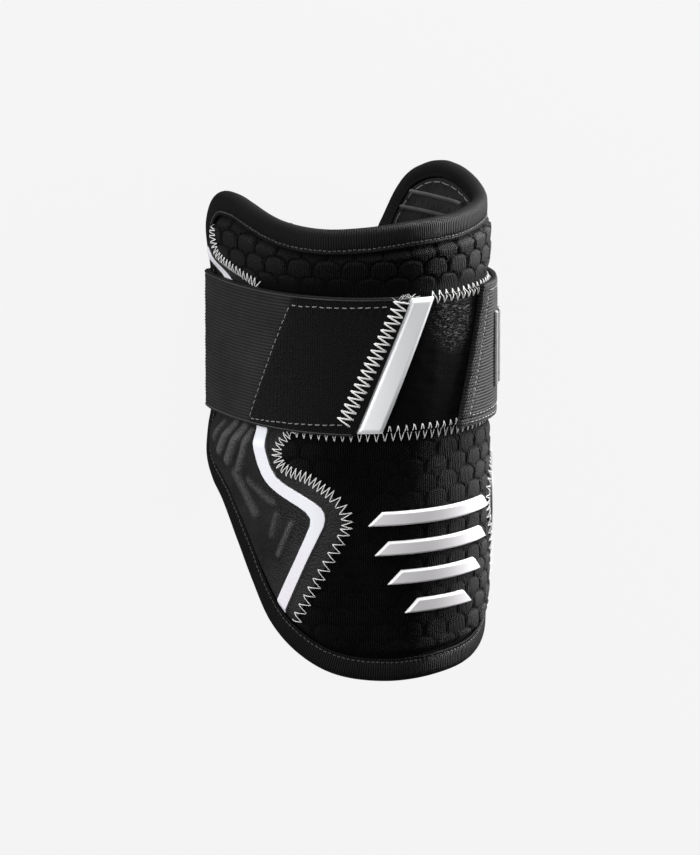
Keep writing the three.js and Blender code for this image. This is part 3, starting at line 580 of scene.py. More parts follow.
def along_line(corners, distances):
    """Points and sideways directions at distances along a line of corners in the flat layout."""
    corners = np.asarray(corners, float)
    run = np.concatenate([[0], np.cumsum(np.linalg.norm(np.diff(corners, axis=0), axis=1))])
    distances = np.asarray(distances, float)

    def spot_at(reached):
        return np.stack([np.interp(reached, run, corners[:, k]) for k in (0, 1)], axis=-1)

    way = spot_at(distances + 1.2) - spot_at(distances - 1.2)
    way /= np.maximum(np.linalg.norm(way, axis=1), 1e-9)[:, None]
    return spot_at(distances), np.stack([-way[:, 1], way[:, 0]], axis=-1), run[-1]


def legs_between(starts, ends, depth, rise, seed):
    """Legs of thread from hole to hole that lie on the given depth and dive in at both ends."""
    rng = np.random.default_rng(seed)
    starts = starts + rng.normal(0, 0.09, starts.shape)
    ends = ends + rng.normal(0, 0.09, ends.shape)
    sink = 0.3
    share = np.array([0, 0.07, 0.3, 0.5, 0.7, 0.93, 1.0])
    lift = np.array([-sink, 0.1 * rise, 0.85 * rise, rise, 0.85 * rise, 0.1 * rise, -sink])
    flat = starts[:, None] + (ends - starts)[:, None] * share[:, None]
    height = depth(flat[..., 0], flat[..., 1]) + lift * rng.uniform(0.85, 1.15, (len(starts), 1))
    return np.concatenate([flat, height[..., None]], axis=-1)


def dashes_along(corners, pitch, length, depth, rise, seed):
    """A row of running stitches along a line."""
    total = along_line(corners, [0])[2]
    at = np.arange(pitch * 0.4, total - length, pitch)
    starts, ends = (along_line(corners, place)[0] for place in (at, at + length))
    return legs_between(starts, ends, depth, rise, seed)


def zigzag_between(corners, at, width, depth, rise, seed):
    """Zigzag stitches whose holes lie at distances along a line, left and right of it in turn."""
    spot, aside, _ = along_line(corners, at)
    holes = spot + aside * (np.where(np.arange(len(at)) % 2, 0.5, -0.5) * width)[:, None]
    return legs_between(holes[:-1], holes[1:], depth, rise, seed)


def zigzag_along(corners, pitch, width, depth, rise, seed):
    """Even zigzag stitches along a line, whose middle they cross."""
    at = np.arange(0, along_line(corners, [0])[2], pitch / 2)
    return zigzag_between(corners, at, width, depth, rise, seed)


def thread_material(name, colour, rough=0.55):
    """Twisted thread: plies that wind round it."""
    material, tree, shader = new_material(name, Sheen_Weight=0.2, Specular_IOR_Level=0.4, Roughness=rough)
    flat = flat_place(tree, turn=0.6)
    height = threads_height(tree, flat, pitch=0.32, course=3.0, course_depth=0.0, wander=0.1)
    # Painted shade darkens the grooves between the plies.
    tint = cloth_colour(tree, flat, height, colour, [0.72 * part for part in colour], Lint=0.4, Crest=0.0)
    feed(tree, shader, Base_Color=tint["Colour"], Normal=bump(tree, height, 0.06))
    return material


def slots_material():
    """The lining's cloth, with short slots in staggered rows, painted dark as the shade inside the punched
    holes.
    """
    material = cloth_material(
        "brushed tricot", (0.005, 0.005, 0.0052), (0.022, 0.022, 0.0225), pitch=0.6, course=0.6, depth=0.05,
        lint=0.5, wander=0.3, course_depth=0.5, sheen=0.08,
    )
    tree = material.node_tree
    shader = tree.nodes["Principled BSDF"]
    parts = add_node(tree, "ShaderNodeSeparateXYZ", {0: flat_place(tree)}).outputs
    row = sums(tree, "DIVIDE", parts[1], SLOT_PITCH[1])
    stagger = sums(tree, "MULTIPLY", sums(tree, "FLOOR", row), 0.5)
    column = sums(tree, "ADD", sums(tree, "DIVIDE", parts[0], SLOT_PITCH[0]), stagger)
    inside = []
    for at, low, high in ((column, 0.05, 0.1), (row, 0.2, 0.27)):
        near = sums(tree, "ABSOLUTE", sums(tree, "SUBTRACT", sums(tree, "FRACT", at), 0.5))
        inside.append(stretched(tree, near, low, high, 1.0, 0.0))
    hole = sums(tree, "MULTIPLY", *inside)
    colour = shader.inputs["Base Color"].links[0].from_socket
    # Painted shade: the slots are darkened, not cut.
    feed(tree, shader, Base_Color=mixed(tree, hole, colour, (0.002, 0.002, 0.002, 1)))
    weave = shader.inputs["Normal"].links[0].from_node
    tree.links.new(bump(tree, sums(tree, "SUBTRACT", 1.0, hole), 0.7), weave.inputs["Normal"])
    return material


def edge_line(distance):
    """The cuff's outline moved in by a distance, without the points that cross where it bends in."""
    line = edge + distance * edge_in
    return line[np.abs(edge_distance(line[:, 0], line[:, 1]) - distance) < 0.35]


def lining_face(girth, along):
    """Depth of the lining's face, towards the arm."""
    return pad_inner(edge_distance(girth, along)) - LINING_DEPTH


finish_piece(tricot_lining, slots_material(), "lining", "inner_lining")
GREY_THREAD = thread_material("grey thread", (0.18, 0.18, 0.184))


def inward_lay(girth, along, depth):
    """lay with depth counted towards the arm."""
    return lay(girth, along, -np.asarray(depth, float))


WELT_DEPTH = 9.15
WELT = cloth_material(
    "welded line", (0.035, 0.035, 0.0355), (0.09, 0.09, 0.092), pitch=0.7, course=0.7, depth=0.05, lint=0.6
)
welts = [
    [(side * (start + (stop - start) * t), at, WELT_DEPTH) for t in np.linspace(0, 1, 60)]
    for side in (-1, 1) for start, stop, at in ((66, 107, 90.2), (60, 113, 83.3))
]
welt_piece = thread_piece("lining_welts", welts, radius=0.8, place=inward_lay, sides=8, flatten=0.7)
finish_piece(welt_piece, WELT, "lining")
hold_line = edge_line(TAPE_INNER_WIDTH + 1.9)
hold = dashes_along(
    hold_line, pitch=6.4, length=5.2, depth=lambda g, a: -lining_face(g, a), rise=0.3, seed=4
)
hold_stitches = thread_piece("lining_hold_stitches", hold, radius=0.2, place=inward_lay)
finish_piece(hold_stitches, GREY_THREAD, "lining")

# Edge binding
# Satin-ribbed elastic tape folded over the cuff's edge and sewn through with one row of dark thread,
# which pulls a shallow channel just outside the tape's raised lip.
TAPE_TOP = EDGE_MIDDLE + BINDING_NOSE
TAPE_UNDER = EDGE_MIDDLE - BINDING_NOSE
TAPE_LIP = [
    (0.05, -1.1), (0, -0.35), (-0.25, 0.02), (-0.75, 0.05), (-1.1, -0.22), (-1.5, -0.32), (-1.9, -0.2),
    (-2.6, 0.02), (-4.2, 0.06),
]
TAPE_INNER_LIP = [(-2.6, -0.02), (-1.9, 0.1), (-1.4, 0.25), (-0.8, 0), (0, 0.3), (0, 1.2)]
TAPE_FACE_POINTS = 24
STITCH_INSET = 1.5


def fold_points(radius, reach, count):
    """Points of the tape's round fold, from an angle of reach degrees to its mirror."""
    turns = np.radians(np.linspace(reach, -reach, count))
    return zip(BINDING_NOSE - radius * np.cos(turns), EDGE_MIDDLE + radius * np.sin(turns))


tape = [(BINDING_WIDTH + inward, TAPE_TOP + up) for inward, up in TAPE_LIP]
tape += fold_points(BINDING_NOSE, 90, 13)
tape += [(TAPE_INNER_WIDTH + inward, TAPE_UNDER + up) for inward, up in TAPE_INNER_LIP]
tape += [(BINDING_NOSE, TAPE_UNDER + 1.2), *fold_points(1.8, -60, 5), (BINDING_NOSE, TAPE_TOP - 1.2)]
tape = np.array(tape)
tape_run = np.concatenate([[0], np.cumsum(np.linalg.norm(np.diff(tape, axis=0), axis=1))])
edge_at = np.arange(len(edge)) * EDGE_LENGTH / len(edge)
pucker = 0.1 * np.sin(edge_at * 2 * math.pi / 1.8)
pucker += 0.14 * np.sin(edge_at * 0.21) * np.sin(edge_at * 0.083 + 1)
near_stitch = np.exp(-(((tape[:, 0] - BINDING_WIDTH + STITCH_INSET) / 1.1) ** 2))
near_stitch *= np.arange(len(tape)) < TAPE_FACE_POINTS
tape_girth = edge[:, None, 0] + tape[None, :, 0] * edge_in[:, None, 0]
tape_along = edge[:, None, 1] + tape[None, :, 0] * edge_in[:, None, 1]
tape_depth = tape[None, :, 1] + pucker[:, None] * near_stitch - 0.06 * near_stitch
tape_points = lay(tape_girth, tape_along, tape_depth)
size = len(tape)
number = np.arange(len(edge) * size).reshape(len(edge), size)
after = np.roll(number, -1, axis=0)
faces = np.stack([number, np.roll(number, -1, axis=1), np.roll(after, -1, axis=1), after], axis=-1)
flat = np.stack(np.broadcast_arrays(edge_at[:, None], tape_run[None, :]), axis=-1)
tape_binding = piece_of(
    "tape_binding", tape_points.reshape(-1, 3), faces.reshape(-1, 4).tolist(), flat.reshape(-1, 2)
)
satin = cloth_material(
    "satin tape", (0.0042, 0.0042, 0.0043), (0.014, 0.014, 0.0143), pitch=1.0, course=0.5, depth=0.28,
    lint=0.25, wander=0.15, course_depth=0.12, sheen=0.0, specular=0.08, rough=0.6,
)
finish_piece(tape_binding, satin, "binding", "edge_binding")
BLACK_THREAD = thread_material("black thread", (0.045, 0.045, 0.046), rough=0.45)
stitch_line = edge + (BINDING_WIDTH - STITCH_INSET) * edge_in
stitch_line = np.concatenate([stitch_line, stitch_line[:1]])
stitches = dashes_along(
    stitch_line, pitch=2.0, length=1.35, depth=lambda g, a: np.full(np.shape(g), TAPE_TOP - 0.3),
    rise=0.16, seed=7,
)
finish_piece(thread_piece("binding_stitches", stitches, radius=0.24), BLACK_THREAD, "binding")

# Side panels
# Thin moulded leather-like cloth on each flank, embossed with nested chevrons. Its front edge is oversewn
# with a white zigzag, and its rear edge runs in under the binding.
PANEL_FRONT = [
    (0.8151, 0.853), (0.7682, 0.857), (0.728, 0.848), (0.705, 0.822), (0.6743, 0.749),
    (0.6494, 0.685), (0.6284, 0.632), (0.0939, 0.482), (0.068, 0.503), (0.0259, 0.522),
    (-0.0122, 0.524), (-0.0487, 0.508), (-0.0664, 0.483), (-0.0775, 0.447), (-0.0952, 0.406),
    (-0.1262, 0.371), (-0.1606, 0.338), (-0.2004, 0.31), (-0.2447, 0.293), (-0.3001, 0.291),
    (-0.3455, 0.305), (-0.4153, 0.331), (-0.5105, 0.369), (-0.6135, 0.409), (-0.7996, 0.48),
]
PANEL_TOP = 1.1
ZIGZAG_PITCHES = [(-14, 2.1), (-22, 3.3), (-29, 2.4), (-200, 4.1)]
CHEVRONS = [
    (2.6, 0.9, [(105.6, 6.0), (108.3, 0.2)]),
    (3.3, 1.3, [(96.4, 7.5), (99.6, 1.8), (103.0, -4.0)]),
    (3.4, 1.3, [(89.3, 7.0), (92.8, 0.5), (96.6, -6.8)]),
    (2.8, 1.1, [(84.0, 6.0), (86.4, -2.0), (89.2, -9.5)]),
    (3.6, 0.75, [(91.1, -11.4), (85.4, -17.3), (78.5, -25.3)]),
    (2.6, 0.6, [(82.7, -12.8), (69.0, -19.7)]),
    (2.2, 0.6, [(67.1, -24.6), (69.5, -33.1)]),
    (2.4, 0.85, [(60.0, -27.3), (65.8, -40.2)]),
]


def heights_of(table):
    """A table's rows from the bottom up, as height and girths in millimetres."""
    rows = np.array(table[::-1], float)
    rows[:, 0] *= np.where(rows[:, 0] > 0, TOP_REACH, TONGUE_REACH)
    rows[:, 1:] *= HALF_GIRTH
    return rows


def row_ends(outline, along, side):
    """How far a closed outline reaches on one side at each height."""
    low, high = column_ends(outline[:, ::-1], along)
    return high if side > 0 else -low


def segment_distance(girth, along, start, end):
    """Distance to a straight stretch of the flat layout."""
    way = np.subtract(end, start)
    share = ((girth - start[0]) * way[0] + (along - start[1]) * way[1]) / (way @ way)
    share = np.clip(share, 0, 1)
    return np.hypot(girth - start[0] - share * way[0], along - start[1] - share * way[1])


def levels_between(levels, low_step, high_step):
    """Heights from the first to the last of levels, at fine steps that turn coarse under the strap."""
    return np.concatenate([
        np.arange(levels[0], STRAP_LOW + 1, low_step),
        np.linspace(STRAP_LOW + STRAP_OVERLAP, STRAP_HIGH - STRAP_OVERLAP, 12),
        np.arange(STRAP_HIGH - 1, levels[-1], high_step),
    ])


def rows_from(start, stop, heights, count):
    """A grid of rows that run from start to stop, each at its own height: girths and heights."""
    girth = start[:, None] + (stop - start)[:, None] * np.linspace(0, 1, count)
    return girth, np.broadcast_to(heights[:, None], girth.shape)


panel_rows = heights_of(PANEL_FRONT)
binding_border = edge + (BINDING_CLEAR + 0.4) * edge_in


def panel_grids(side):
    """Girth, height, top and underside of a panel, and how far each place is up on a chevron's ridge,
    which marks where a highlight is painted on the ridges.
    """
    levels = np.linspace(panel_rows[0, 0], panel_rows[-1, 0], 600)
    front = np.interp(levels, panel_rows[:, 0], panel_rows[:, 1])
    levels = levels[row_ends(binding_border, levels, side) - front > 3.2]
    levels = levels_between(levels, 0.62, 0.7)
    front = np.interp(levels, panel_rows[:, 0], panel_rows[:, 1]) + 0.4
    girth, along = rows_from(front, row_ends(binding_border, levels, side), levels, 100)
    ridge = np.zeros(girth.shape)
    for width, height, corners in CHEVRONS:
        for start, end in zip(corners, corners[1:]):
            near = segment_distance(girth, along, start, end)
            ridge = np.maximum(ridge, height * (1 - ease(0.1, width, near)))
    face = pad_face(side * girth, along)
    top = face + PANEL_TOP - 0.12 + 1.1 * ridge * (1 - under_strap(along))
    # The last grid marks the painted highlight on the chevrons' ridges.
    return side * girth, along, top, face + GAP, 3.2 * ridge**1.5


def pebble_group():
    """Pebbled grain: round tops of the given size in millimetres, with a finer roughness over them."""
    labels = {"Flat": (0.0, 0.0, 0.0), "Size": 1.0}
    tree, given, out = new_group("pebble grain", labels, {"Height": "NodeSocketFloat"})
    scale = sums(tree, "DIVIDE", 1.0, given["Size"])
    place = {"Vector": given["Flat"], "Scale": scale, "Smoothness": 0.5}
    hollow = add_node(tree, "ShaderNodeTexVoronoi", place, feature="SMOOTH_F1").outputs["Distance"]
    round_top = sums(tree, "SUBTRACT", 1.0, hollow)
    height = sums(tree, "MULTIPLY_ADD", noise(tree, given["Flat"], 3.0, 3.0), 0.35, round_top)
    tree.links.new(height, out["Height"])
    return tree


PEBBLE = pebble_group()


def moulded_material(name, colour, pale_mix, grain, depth, lint, rough, crest=False, shaded=True, **fixed):
    """Moulded or coated surface with a pebbled grain. Where crest is set, its ridges are painted paler
    as a highlight; lint and random patches pale it too, and where shaded is set,
    painted shade darkens its grain's hollows."""
    material, tree, shader = new_material(name, Roughness=rough, **fixed)
    flat = flat_place(tree)
    grains = {"Flat": flat, "Size": grain}
    height = add_node(tree, "ShaderNodeGroup", grains, node_tree=PEBBLE).outputs["Height"]
    marks = {"Crest": crest_mark(tree), "Speck": 1.0} if crest else {"Crest": 0.0}
    tint = cloth_colour(tree, flat, height if shaded else 1.0, colour, pale_mix, Lint=lint, **marks)
    feed(tree, shader, Base_Color=tint["Colour"], Normal=bump(tree, height, depth))
    return material


# The side cloth's paler colour is painted on the chevrons' ridges as a speckled highlight.
leather = moulded_material(
    "embossed side cloth", (0.0035, 0.0035, 0.0037), (0.1, 0.1, 0.103), grain=0.6, depth=0.22, lint=0.12,
    rough=0.46, crest=True, Specular_IOR_Level=0.22, Sheen_Weight=0.02,
)
WHITE_THREAD = thread_material("white thread", (0.86, 0.86, 0.85))


def flipped(*grids):
    """Grids with their columns in the other order, as the left flank needs them."""
    return tuple(grid[:, ::-1] for grid in grids)


def uneven_zigzag(corners, pitches, width, depth, rise, seed):
    """Zigzag stitches whose pitch changes with the height. pitches is rows of height and pitch, from
    the top down."""
    total = along_line(corners, [0])[2]
    at, run = [], 0.0
    while run < total:
        at.append(run)
        height = along_line(corners, [run])[0][0, 1]
        run += 0.5 * next(pitch for low, pitch in pitches if height > low)
    return zigzag_between(corners, at, width, depth, rise, seed)


def panel_edge_face(girth, along):
    """Depth of what lies under the zigzag: the panel behind its front edge, the knit before it."""
    at = np.interp(along, panel_rows[:, 0], panel_rows[:, 1])
    on_panel = ease(-0.6, 0.6, np.abs(girth) - at)
    return pad_face(girth, along) + 0.55 + (PANEL_TOP - 0.55) * on_panel


for name, side in (("left", -1), ("right", 1)):
    grids = panel_grids(side)
    if side < 0:
        grids = flipped(*grids)
    panel = sewn_piece(f"side_cloth_{name}", *grids[:4], rim=0.35, coarse=10, crest=grids[4])
    finish_piece(panel, leather, "panel", f"side_panel_{name}")
    line = np.stack([side * panel_rows[::-1, 1], panel_rows[::-1, 0]], axis=-1)
    line = along_line(line, np.arange(0, along_line(line, [0])[2], 0.5))[0]
    line = line[edge_distance(line[:, 0], line[:, 1]) > BINDING_CLEAR + 0.8]
    upper = line[line[:, 1] > STRAP_HIGH - STRAP_OVERLAP]
    lower = line[line[:, 1] < STRAP_LOW + 1]
    legs = [
        uneven_zigzag(part, ZIGZAG_PITCHES, width=4.6, depth=panel_edge_face, rise=0.5, seed=11 + k)
        for k, part in enumerate((upper, lower))
    ]
    zigzag = thread_piece(f"panel_zigzag_{name}", np.concatenate(legs), radius=0.19)
    finish_piece(zigzag, WHITE_THREAD, "panel")

# Stripes
# A pearly film heat-pressed on each side panel over a slightly wider black one,
# which shows as its thin outline.
STRIPE = [
    (0.728, 0.917, 0.885), (0.6992, 0.908, 0.862), (0.6705, 0.893, 0.838), (0.6418, 0.861, 0.806),
    (0.613, 0.814, 0.764), (0.4933, 0.728, 0.672), (0.296, 0.674, 0.618), (0.067, 0.629, 0.578),
    (0, 0.614, 0.562), (-0.0554, 0.598, 0.546), (-0.0997, 0.579, 0.522), (-0.1274, 0.561, 0.489),
    (-0.1495, 0.539, 0.453), (-0.1717, 0.511, 0.421), (-0.1938, 0.477, 0.391), (-0.2159, 0.444, 0.37),
    (-0.2381, 0.418, 0.36), (-0.2658, 0.403, 0.357), (-0.299, 0.405, 0.362), (-0.3433, 0.418, 0.377),
    (-0.4651, 0.457, 0.418), (-0.7973, 0.5699, 0.5237),
]
stripe_rows = heights_of(STRIPE)


def stripe_grids(side, grow, low, high):
    """A stripe wider than drawn by grow, cut parallel to the binding at its lower end and along its rear."""
    levels = np.linspace(stripe_rows[0, 0], stripe_rows[-1, 0], 900)
    inner = np.interp(levels, stripe_rows[:, 0], stripe_rows[:, 2]) - grow
    border = edge + (BINDING_CLEAR + 1.0 - grow) * edge_in
    levels = levels_between(levels[row_ends(border, levels, side) - inner > 0.5], 0.6, 0.6)
    inner = np.interp(levels, stripe_rows[:, 0], stripe_rows[:, 2]) - grow
    outer = np.interp(levels, stripe_rows[:, 0], stripe_rows[:, 1]) + grow
    girth, along = rows_from(inner, np.minimum(outer, row_ends(border, levels, side)), levels, 14)
    girth = side * girth
    ground = pad_face(girth, along)
    grids = (girth, along, ground + high, ground + low)
    return flipped(*grids) if side < 0 else grids


pearl = moulded_material(
    "pearly film", (0.68, 0.71, 0.75), (0.7, 0.66, 0.71), grain=0.5, depth=0.006, lint=0.8, rough=0.32,
    shaded=False, Coat_Weight=0.25, Coat_Roughness=0.2, Specular_IOR_Level=0.55,
)
backing = moulded_material(
    "black film", (0.006, 0.006, 0.006), (0.02, 0.02, 0.02), grain=0.5, depth=0.02, lint=0.3, rough=0.5
)
for name, side in (("left", -1), ("right", 1)):
    for kind, grow, low, high, material in (
        ("stripe_bed", 0.55, PANEL_TOP - 0.1, PANEL_TOP + 0.14, backing),
        ("pearl_stripe", -0.12, PANEL_TOP + 0.16, PANEL_TOP + 0.66, pearl),
    ):
        piece = sewn_piece(f"{kind}_{name}", *stripe_grids(side, grow, low, high), rim=0.1, coarse=6)
        finish_piece(piece, material, "stripe", *([f"stripe_{name}"] if kind == "pearl_stripe" else []))

# Loop patch
# Brushed loop cloth laid between the side panels, which the strap's hooks hold on. Its two edges are
# oversewn with a white zigzag, and its pile is scuffed pale where the tab has been pulled off.
PATCH_LOW = STRAP_LOW + 1
PATCH_HIGH = STRAP_HIGH - 1
PATCH_TOP = 1.68
PILE_DEPTH = 0.35
PILE_WAVES = 14
SCUFF_PLACE = (7.0, 54.0)
SCUFF_SIZE = (11.0, 13.0)
heights = np.linspace(PATCH_LOW + 0.3, PATCH_HIGH - 0.3, 78)
front = np.interp(heights, panel_rows[:, 0], panel_rows[:, 1]) - 0.7
patch_girth = front[:, None] * np.linspace(-1, 1, 190)
patch_along = np.broadcast_to(heights[:, None], patch_girth.shape)
rng = np.random.default_rng(21)
pile = np.zeros(patch_girth.shape)
for wave in range(PILE_WAVES):
    way = rng.uniform(0, math.pi)
    length = rng.uniform(4, 16)
    across = patch_girth * math.cos(way) + patch_along * math.sin(way)
    pile += np.sin(across / length * 2 * math.pi + wave) / PILE_WAVES
patch_face = pad_face(patch_girth, patch_along)
patch_top = patch_face + PATCH_TOP + PILE_DEPTH * pile
brushed_patch = sewn_piece(
    "brushed_patch", patch_girth, patch_along, patch_top, patch_face + GAP, rim=0.5, coarse=10
)


def brushed_material():
    """Dark pile with fine pale scratches in its scuffed middle."""
    material, tree, shader = new_material("brushed loop cloth", Specular_IOR_Level=0.05, Roughness=0.95)
    flat = flat_place(tree)
    parts = add_node(tree, "ShaderNodeSeparateXYZ", {0: flat}).outputs
    fluff = noise(tree, flat, 1.1, 6.0, Roughness=0.7)
    strands = noise(tree, flat_place(tree, turn=0.5, stretch=(0.5, 3.2, 1.0)), 1.0, 4.0, Distortion=1.4)
    squares = []
    for part, at, size in zip(parts, SCUFF_PLACE, SCUFF_SIZE):
        away = sums(tree, "ABSOLUTE", sums(tree, "DIVIDE", sums(tree, "SUBTRACT", part, at), size))
        squares.append(sums(tree, "POWER", away, 2.0))
    scuffed = stretched(tree, sums(tree, "ADD", *squares), 0.1, 1.3, 1.0, 0.0)
    pale = sums(tree, "MULTIPLY", scuffed, stretched(tree, strands, 0.57, 0.7))
    lint = stretched(tree, fluff, 0.45, 0.8)
    dark = mixed(tree, lint, (0.0015, 0.0015, 0.0016, 1), (0.005, 0.005, 0.0052, 1))
    pale_mix = mixed(tree, sums(tree, "MULTIPLY", pale, 0.8), dark, (0.36, 0.36, 0.36, 1))
    height = sums(tree, "ADD", fluff, sums(tree, "MULTIPLY", strands, 0.6))
    feed(tree, shader, Base_Color=pale_mix, Normal=bump(tree, height, 0.5))
    return material


finish_piece(brushed_patch, brushed_material(), "loop", "loop_patch")


def patch_edge_face(girth, along):
    """Depth under the patch's zigzags: the patch inside its edges, the knit outside."""
    inside = ease(-0.5, 0.5, along - PATCH_LOW) * ease(-0.5, 0.5, PATCH_HIGH - along)
    return pad_face(girth, along) + 0.6 + 1.15 * inside


PATCH_SEAMS = [(-62, 62, PATCH_LOW - 0.4, 6.7, 31), (-4, 60, PATCH_HIGH - 0.6, 4.8, 32)]
patch_legs = np.concatenate([
    zigzag_along([(start, at), (stop, at)], 3.3, width, patch_edge_face, rise=0.35, seed=seed)
    for start, stop, at, width, seed in PATCH_SEAMS
])
finish_piece(thread_piece("loop_patch_zigzags", patch_legs, radius=0.18), WHITE_THREAD, "loop")

# Strap
# Wide ribbed elastic. Its woven end is sewn down on the front with a box of running stitches; from there
# it goes round the left flank, flat across the open back, and up the right flank to the tab.
SLANTS = {
    "anchor_end": (-0.268, -0.1),
    "label_end": (-0.19, -0.02),
    "tab_end": (0.066, 0.187),
    "tab_seam": (0.485, 0.485),
}
LEAVE = HALF_GIRTH - BINDING_NOSE - TUCK
leave_x, leave_z, leave_out_x, leave_out_z = (float(v) for v in bend(LEAVE))
FOLD_X = leave_x + EDGE_MIDDLE * leave_out_x
FOLD_Z = leave_z + EDGE_MIDDLE * leave_out_z
FOLD_RADIUS = STRAP_BOTTOM - float(squeeze(HALF_GIRTH)) - EDGE_MIDDLE
FOLD_TURN = math.asin(-leave_out_z)
FOLD_LENGTH = (math.pi / 2 - FOLD_TURN) * (FOLD_RADIUS + 1)
BACK_MIDDLE = LEAVE + FOLD_LENGTH + FOLD_X


def slant(name, along):
    """Girth of a slanted end of the strap's pieces at a height."""
    low, high = SLANTS[name]
    height = np.asarray(along, float) - STRAP_LOW
    return HALF_GIRTH * (low + (high - low) * height / (STRAP_HIGH - STRAP_LOW))


def lay_strap(run, along, over):
    """Points of the strap: run goes down the left flank, across the back and up the right one.
    over is the height above the strap's own underside."""
    run, along, over = np.broadcast_arrays(*(np.asarray(v, float) for v in (run, along, over)))
    side = np.where(run > BACK_MIDDLE, 1.0, -1.0)
    near = np.where(run > BACK_MIDDLE, 2 * BACK_MIDDLE - run, run)
    on_cuff = np.minimum(near, LEAVE)
    x, z, out_x, out_z = bend(on_cuff)
    depth = STRAP_BOTTOM - squeeze(on_cuff) + over
    sign = np.where(on_cuff < 0, -1.0, 1.0)
    cuff_x, cuff_z = x + depth * out_x, z + depth * out_z
    turn = np.clip(FOLD_TURN + (near - LEAVE) / (FOLD_RADIUS + 1), FOLD_TURN, math.pi / 2)
    radius = FOLD_RADIUS + over
    flat = np.maximum(near - LEAVE - FOLD_LENGTH, 0)
    fold_x, fold_z = FOLD_X + radius * np.cos(turn) - flat, FOLD_Z - radius * np.sin(turn)
    round_back = near > LEAVE
    place_x = np.where(round_back, fold_x, cuff_x)
    place_z = np.where(round_back, fold_z, cuff_z)
    return np.stack([side * place_x, along - STRAP_MIDDLE, LIFT + place_z], axis=-1) * MM


BOX = [(-60.2, 60.6), (-82.2, 12.4), (-37.9, 14.6), (-19.8, 61.6)]
BOX_ROWS = [(BOX[0], BOX[1]), (BOX[1], BOX[2]), (BOX[0], BOX[3])]
(box_upper, box_high), (box_lower, box_low) = BOX[:2]
strap_along = np.linspace(STRAP_LOW + 0.35, STRAP_HIGH - 0.35, 254)
start = -slant("anchor_end", strap_along) + 0.4
stop = 2 * BACK_MIDDLE - slant("tab_seam", strap_along) - 0.8
strap_run, strap_along = rows_from(start, stop, strap_along, 118)
box_side = box_upper - (box_upper - box_lower) * (box_high - strap_along) / (box_high - box_low)
woven = ease(-1.5, 1.5, -strap_run - box_side)
from_edge = np.minimum(strap_along - STRAP_LOW, STRAP_HIGH - strap_along)
band = ease(3.6, 4.4, from_edge)
ribs = np.abs(np.sin((strap_along - STRAP_MIDDLE) / 1.3 * math.pi)) ** 0.6
strap_over = STRAP_THICKNESS - 0.04 - 0.42 * (1 - ribs) * (1 - woven) * band
strap_over -= 0.3 * np.exp(-(((from_edge - 1.35) / 0.45) ** 2))
strap_over -= 0.12 * ease(1.6, 2.6, from_edge) * (1 - band)
for start_corner, end_corner in BOX_ROWS:
    near = segment_distance(-strap_run, strap_along, start_corner, end_corner)
    strap_over -= 0.22 * np.exp(-((near / 0.7) ** 2))
elastic_strap = sewn_piece(
    "elastic_strap", strap_run, strap_along, strap_over, np.full(strap_run.shape, 0.05), rim=0.35, coarse=9,
    crest=woven, place=lay_strap,
)


def elastic_material():
    """Ribbed elastic that turns into a plain square weave where the crest mask is 1."""
    material = cloth_material(
        "ribbed elastic", (0.011, 0.011, 0.0113), (0.05, 0.05, 0.051), pitch=1.3, course=0.7, depth=0.4,
        lint=0.25, turn=math.pi / 2, wander=0.15, course_depth=0.3, sheen=0.03, specular=0.09, rough=0.75,
    )
    tree = material.node_tree
    shader = tree.nodes["Principled BSDF"]
    square = threads_height(tree, flat_place(tree), pitch=0.72, course=0.72, course_depth=1.0, wander=0.1)
    mask = crest_mark(tree)
    relief = shader.inputs["Normal"].links[0].from_node
    ribbed = relief.inputs["Height"].links[0].from_socket
    heights = {"Factor": mask, 2: ribbed, 3: square}
    height = add_node(tree, "ShaderNodeMix", heights, data_type="FLOAT").outputs[0]
    tree.links.new(height, relief.inputs["Height"])
    colour = shader.inputs["Base Color"].links[0].from_socket
    feed(tree, shader, Base_Color=mixed(tree, mask, colour, (0.0034, 0.0034, 0.0035, 1)))
    return material


finish_piece(elastic_strap, elastic_material(), "elastic", "strap_elastic", "strap_anchor")


def strap_top(run, along):
    """Height of the strap's face above its own underside."""
    return np.full(np.shape(run), STRAP_THICKNESS - 0.06)


def on_strap(corners):
    """Corners given by girth, as the strap's own run."""
    return [(-girth, along) for girth, along in corners]


box_legs = np.concatenate([
    dashes_along(on_strap(row), pitch=2.9, length=1.8, depth=strap_top, rise=0.2, seed=41 + k)
    for k, row in enumerate(BOX_ROWS)
])
box_stitches = thread_piece("strap_box_stitches", box_legs, radius=0.24, place=lay_strap)
finish_piece(box_stitches, GREY_THREAD, "elastic")
LIGHT_GREY = cloth_material(
    "selvedge", (0.03, 0.03, 0.031), (0.08, 0.08, 0.08), pitch=0.5, course=0.6, depth=0.05, lint=0.5
)
bar_line = on_strap([(-16.6, 63.6), (-38.6, 14.6)])
bar_legs = zigzag_along(bar_line, pitch=2.95, width=6.0, depth=strap_top, rise=0.45, seed=51)
finish_piece(thread_piece("strap_bar_tack", bar_legs, 0.36, lay_strap), WHITE_THREAD, "elastic")
for name, at in (("upper", STRAP_HIGH - 0.75), ("lower", STRAP_LOW + 0.75)):
    low = float(-slant("anchor_end", at)) + 1.0
    high = float(2 * BACK_MIDDLE - slant("tab_seam", at)) - 1.5
    run = np.linspace(low, high, 260)
    cord = np.stack(np.broadcast_arrays(run, at, STRAP_THICKNESS - 0.23), axis=-1)[None]
    finish_piece(thread_piece(f"strap_selvedge_{name}", cord, 0.3, lay_strap), LIGHT_GREY, "elastic")

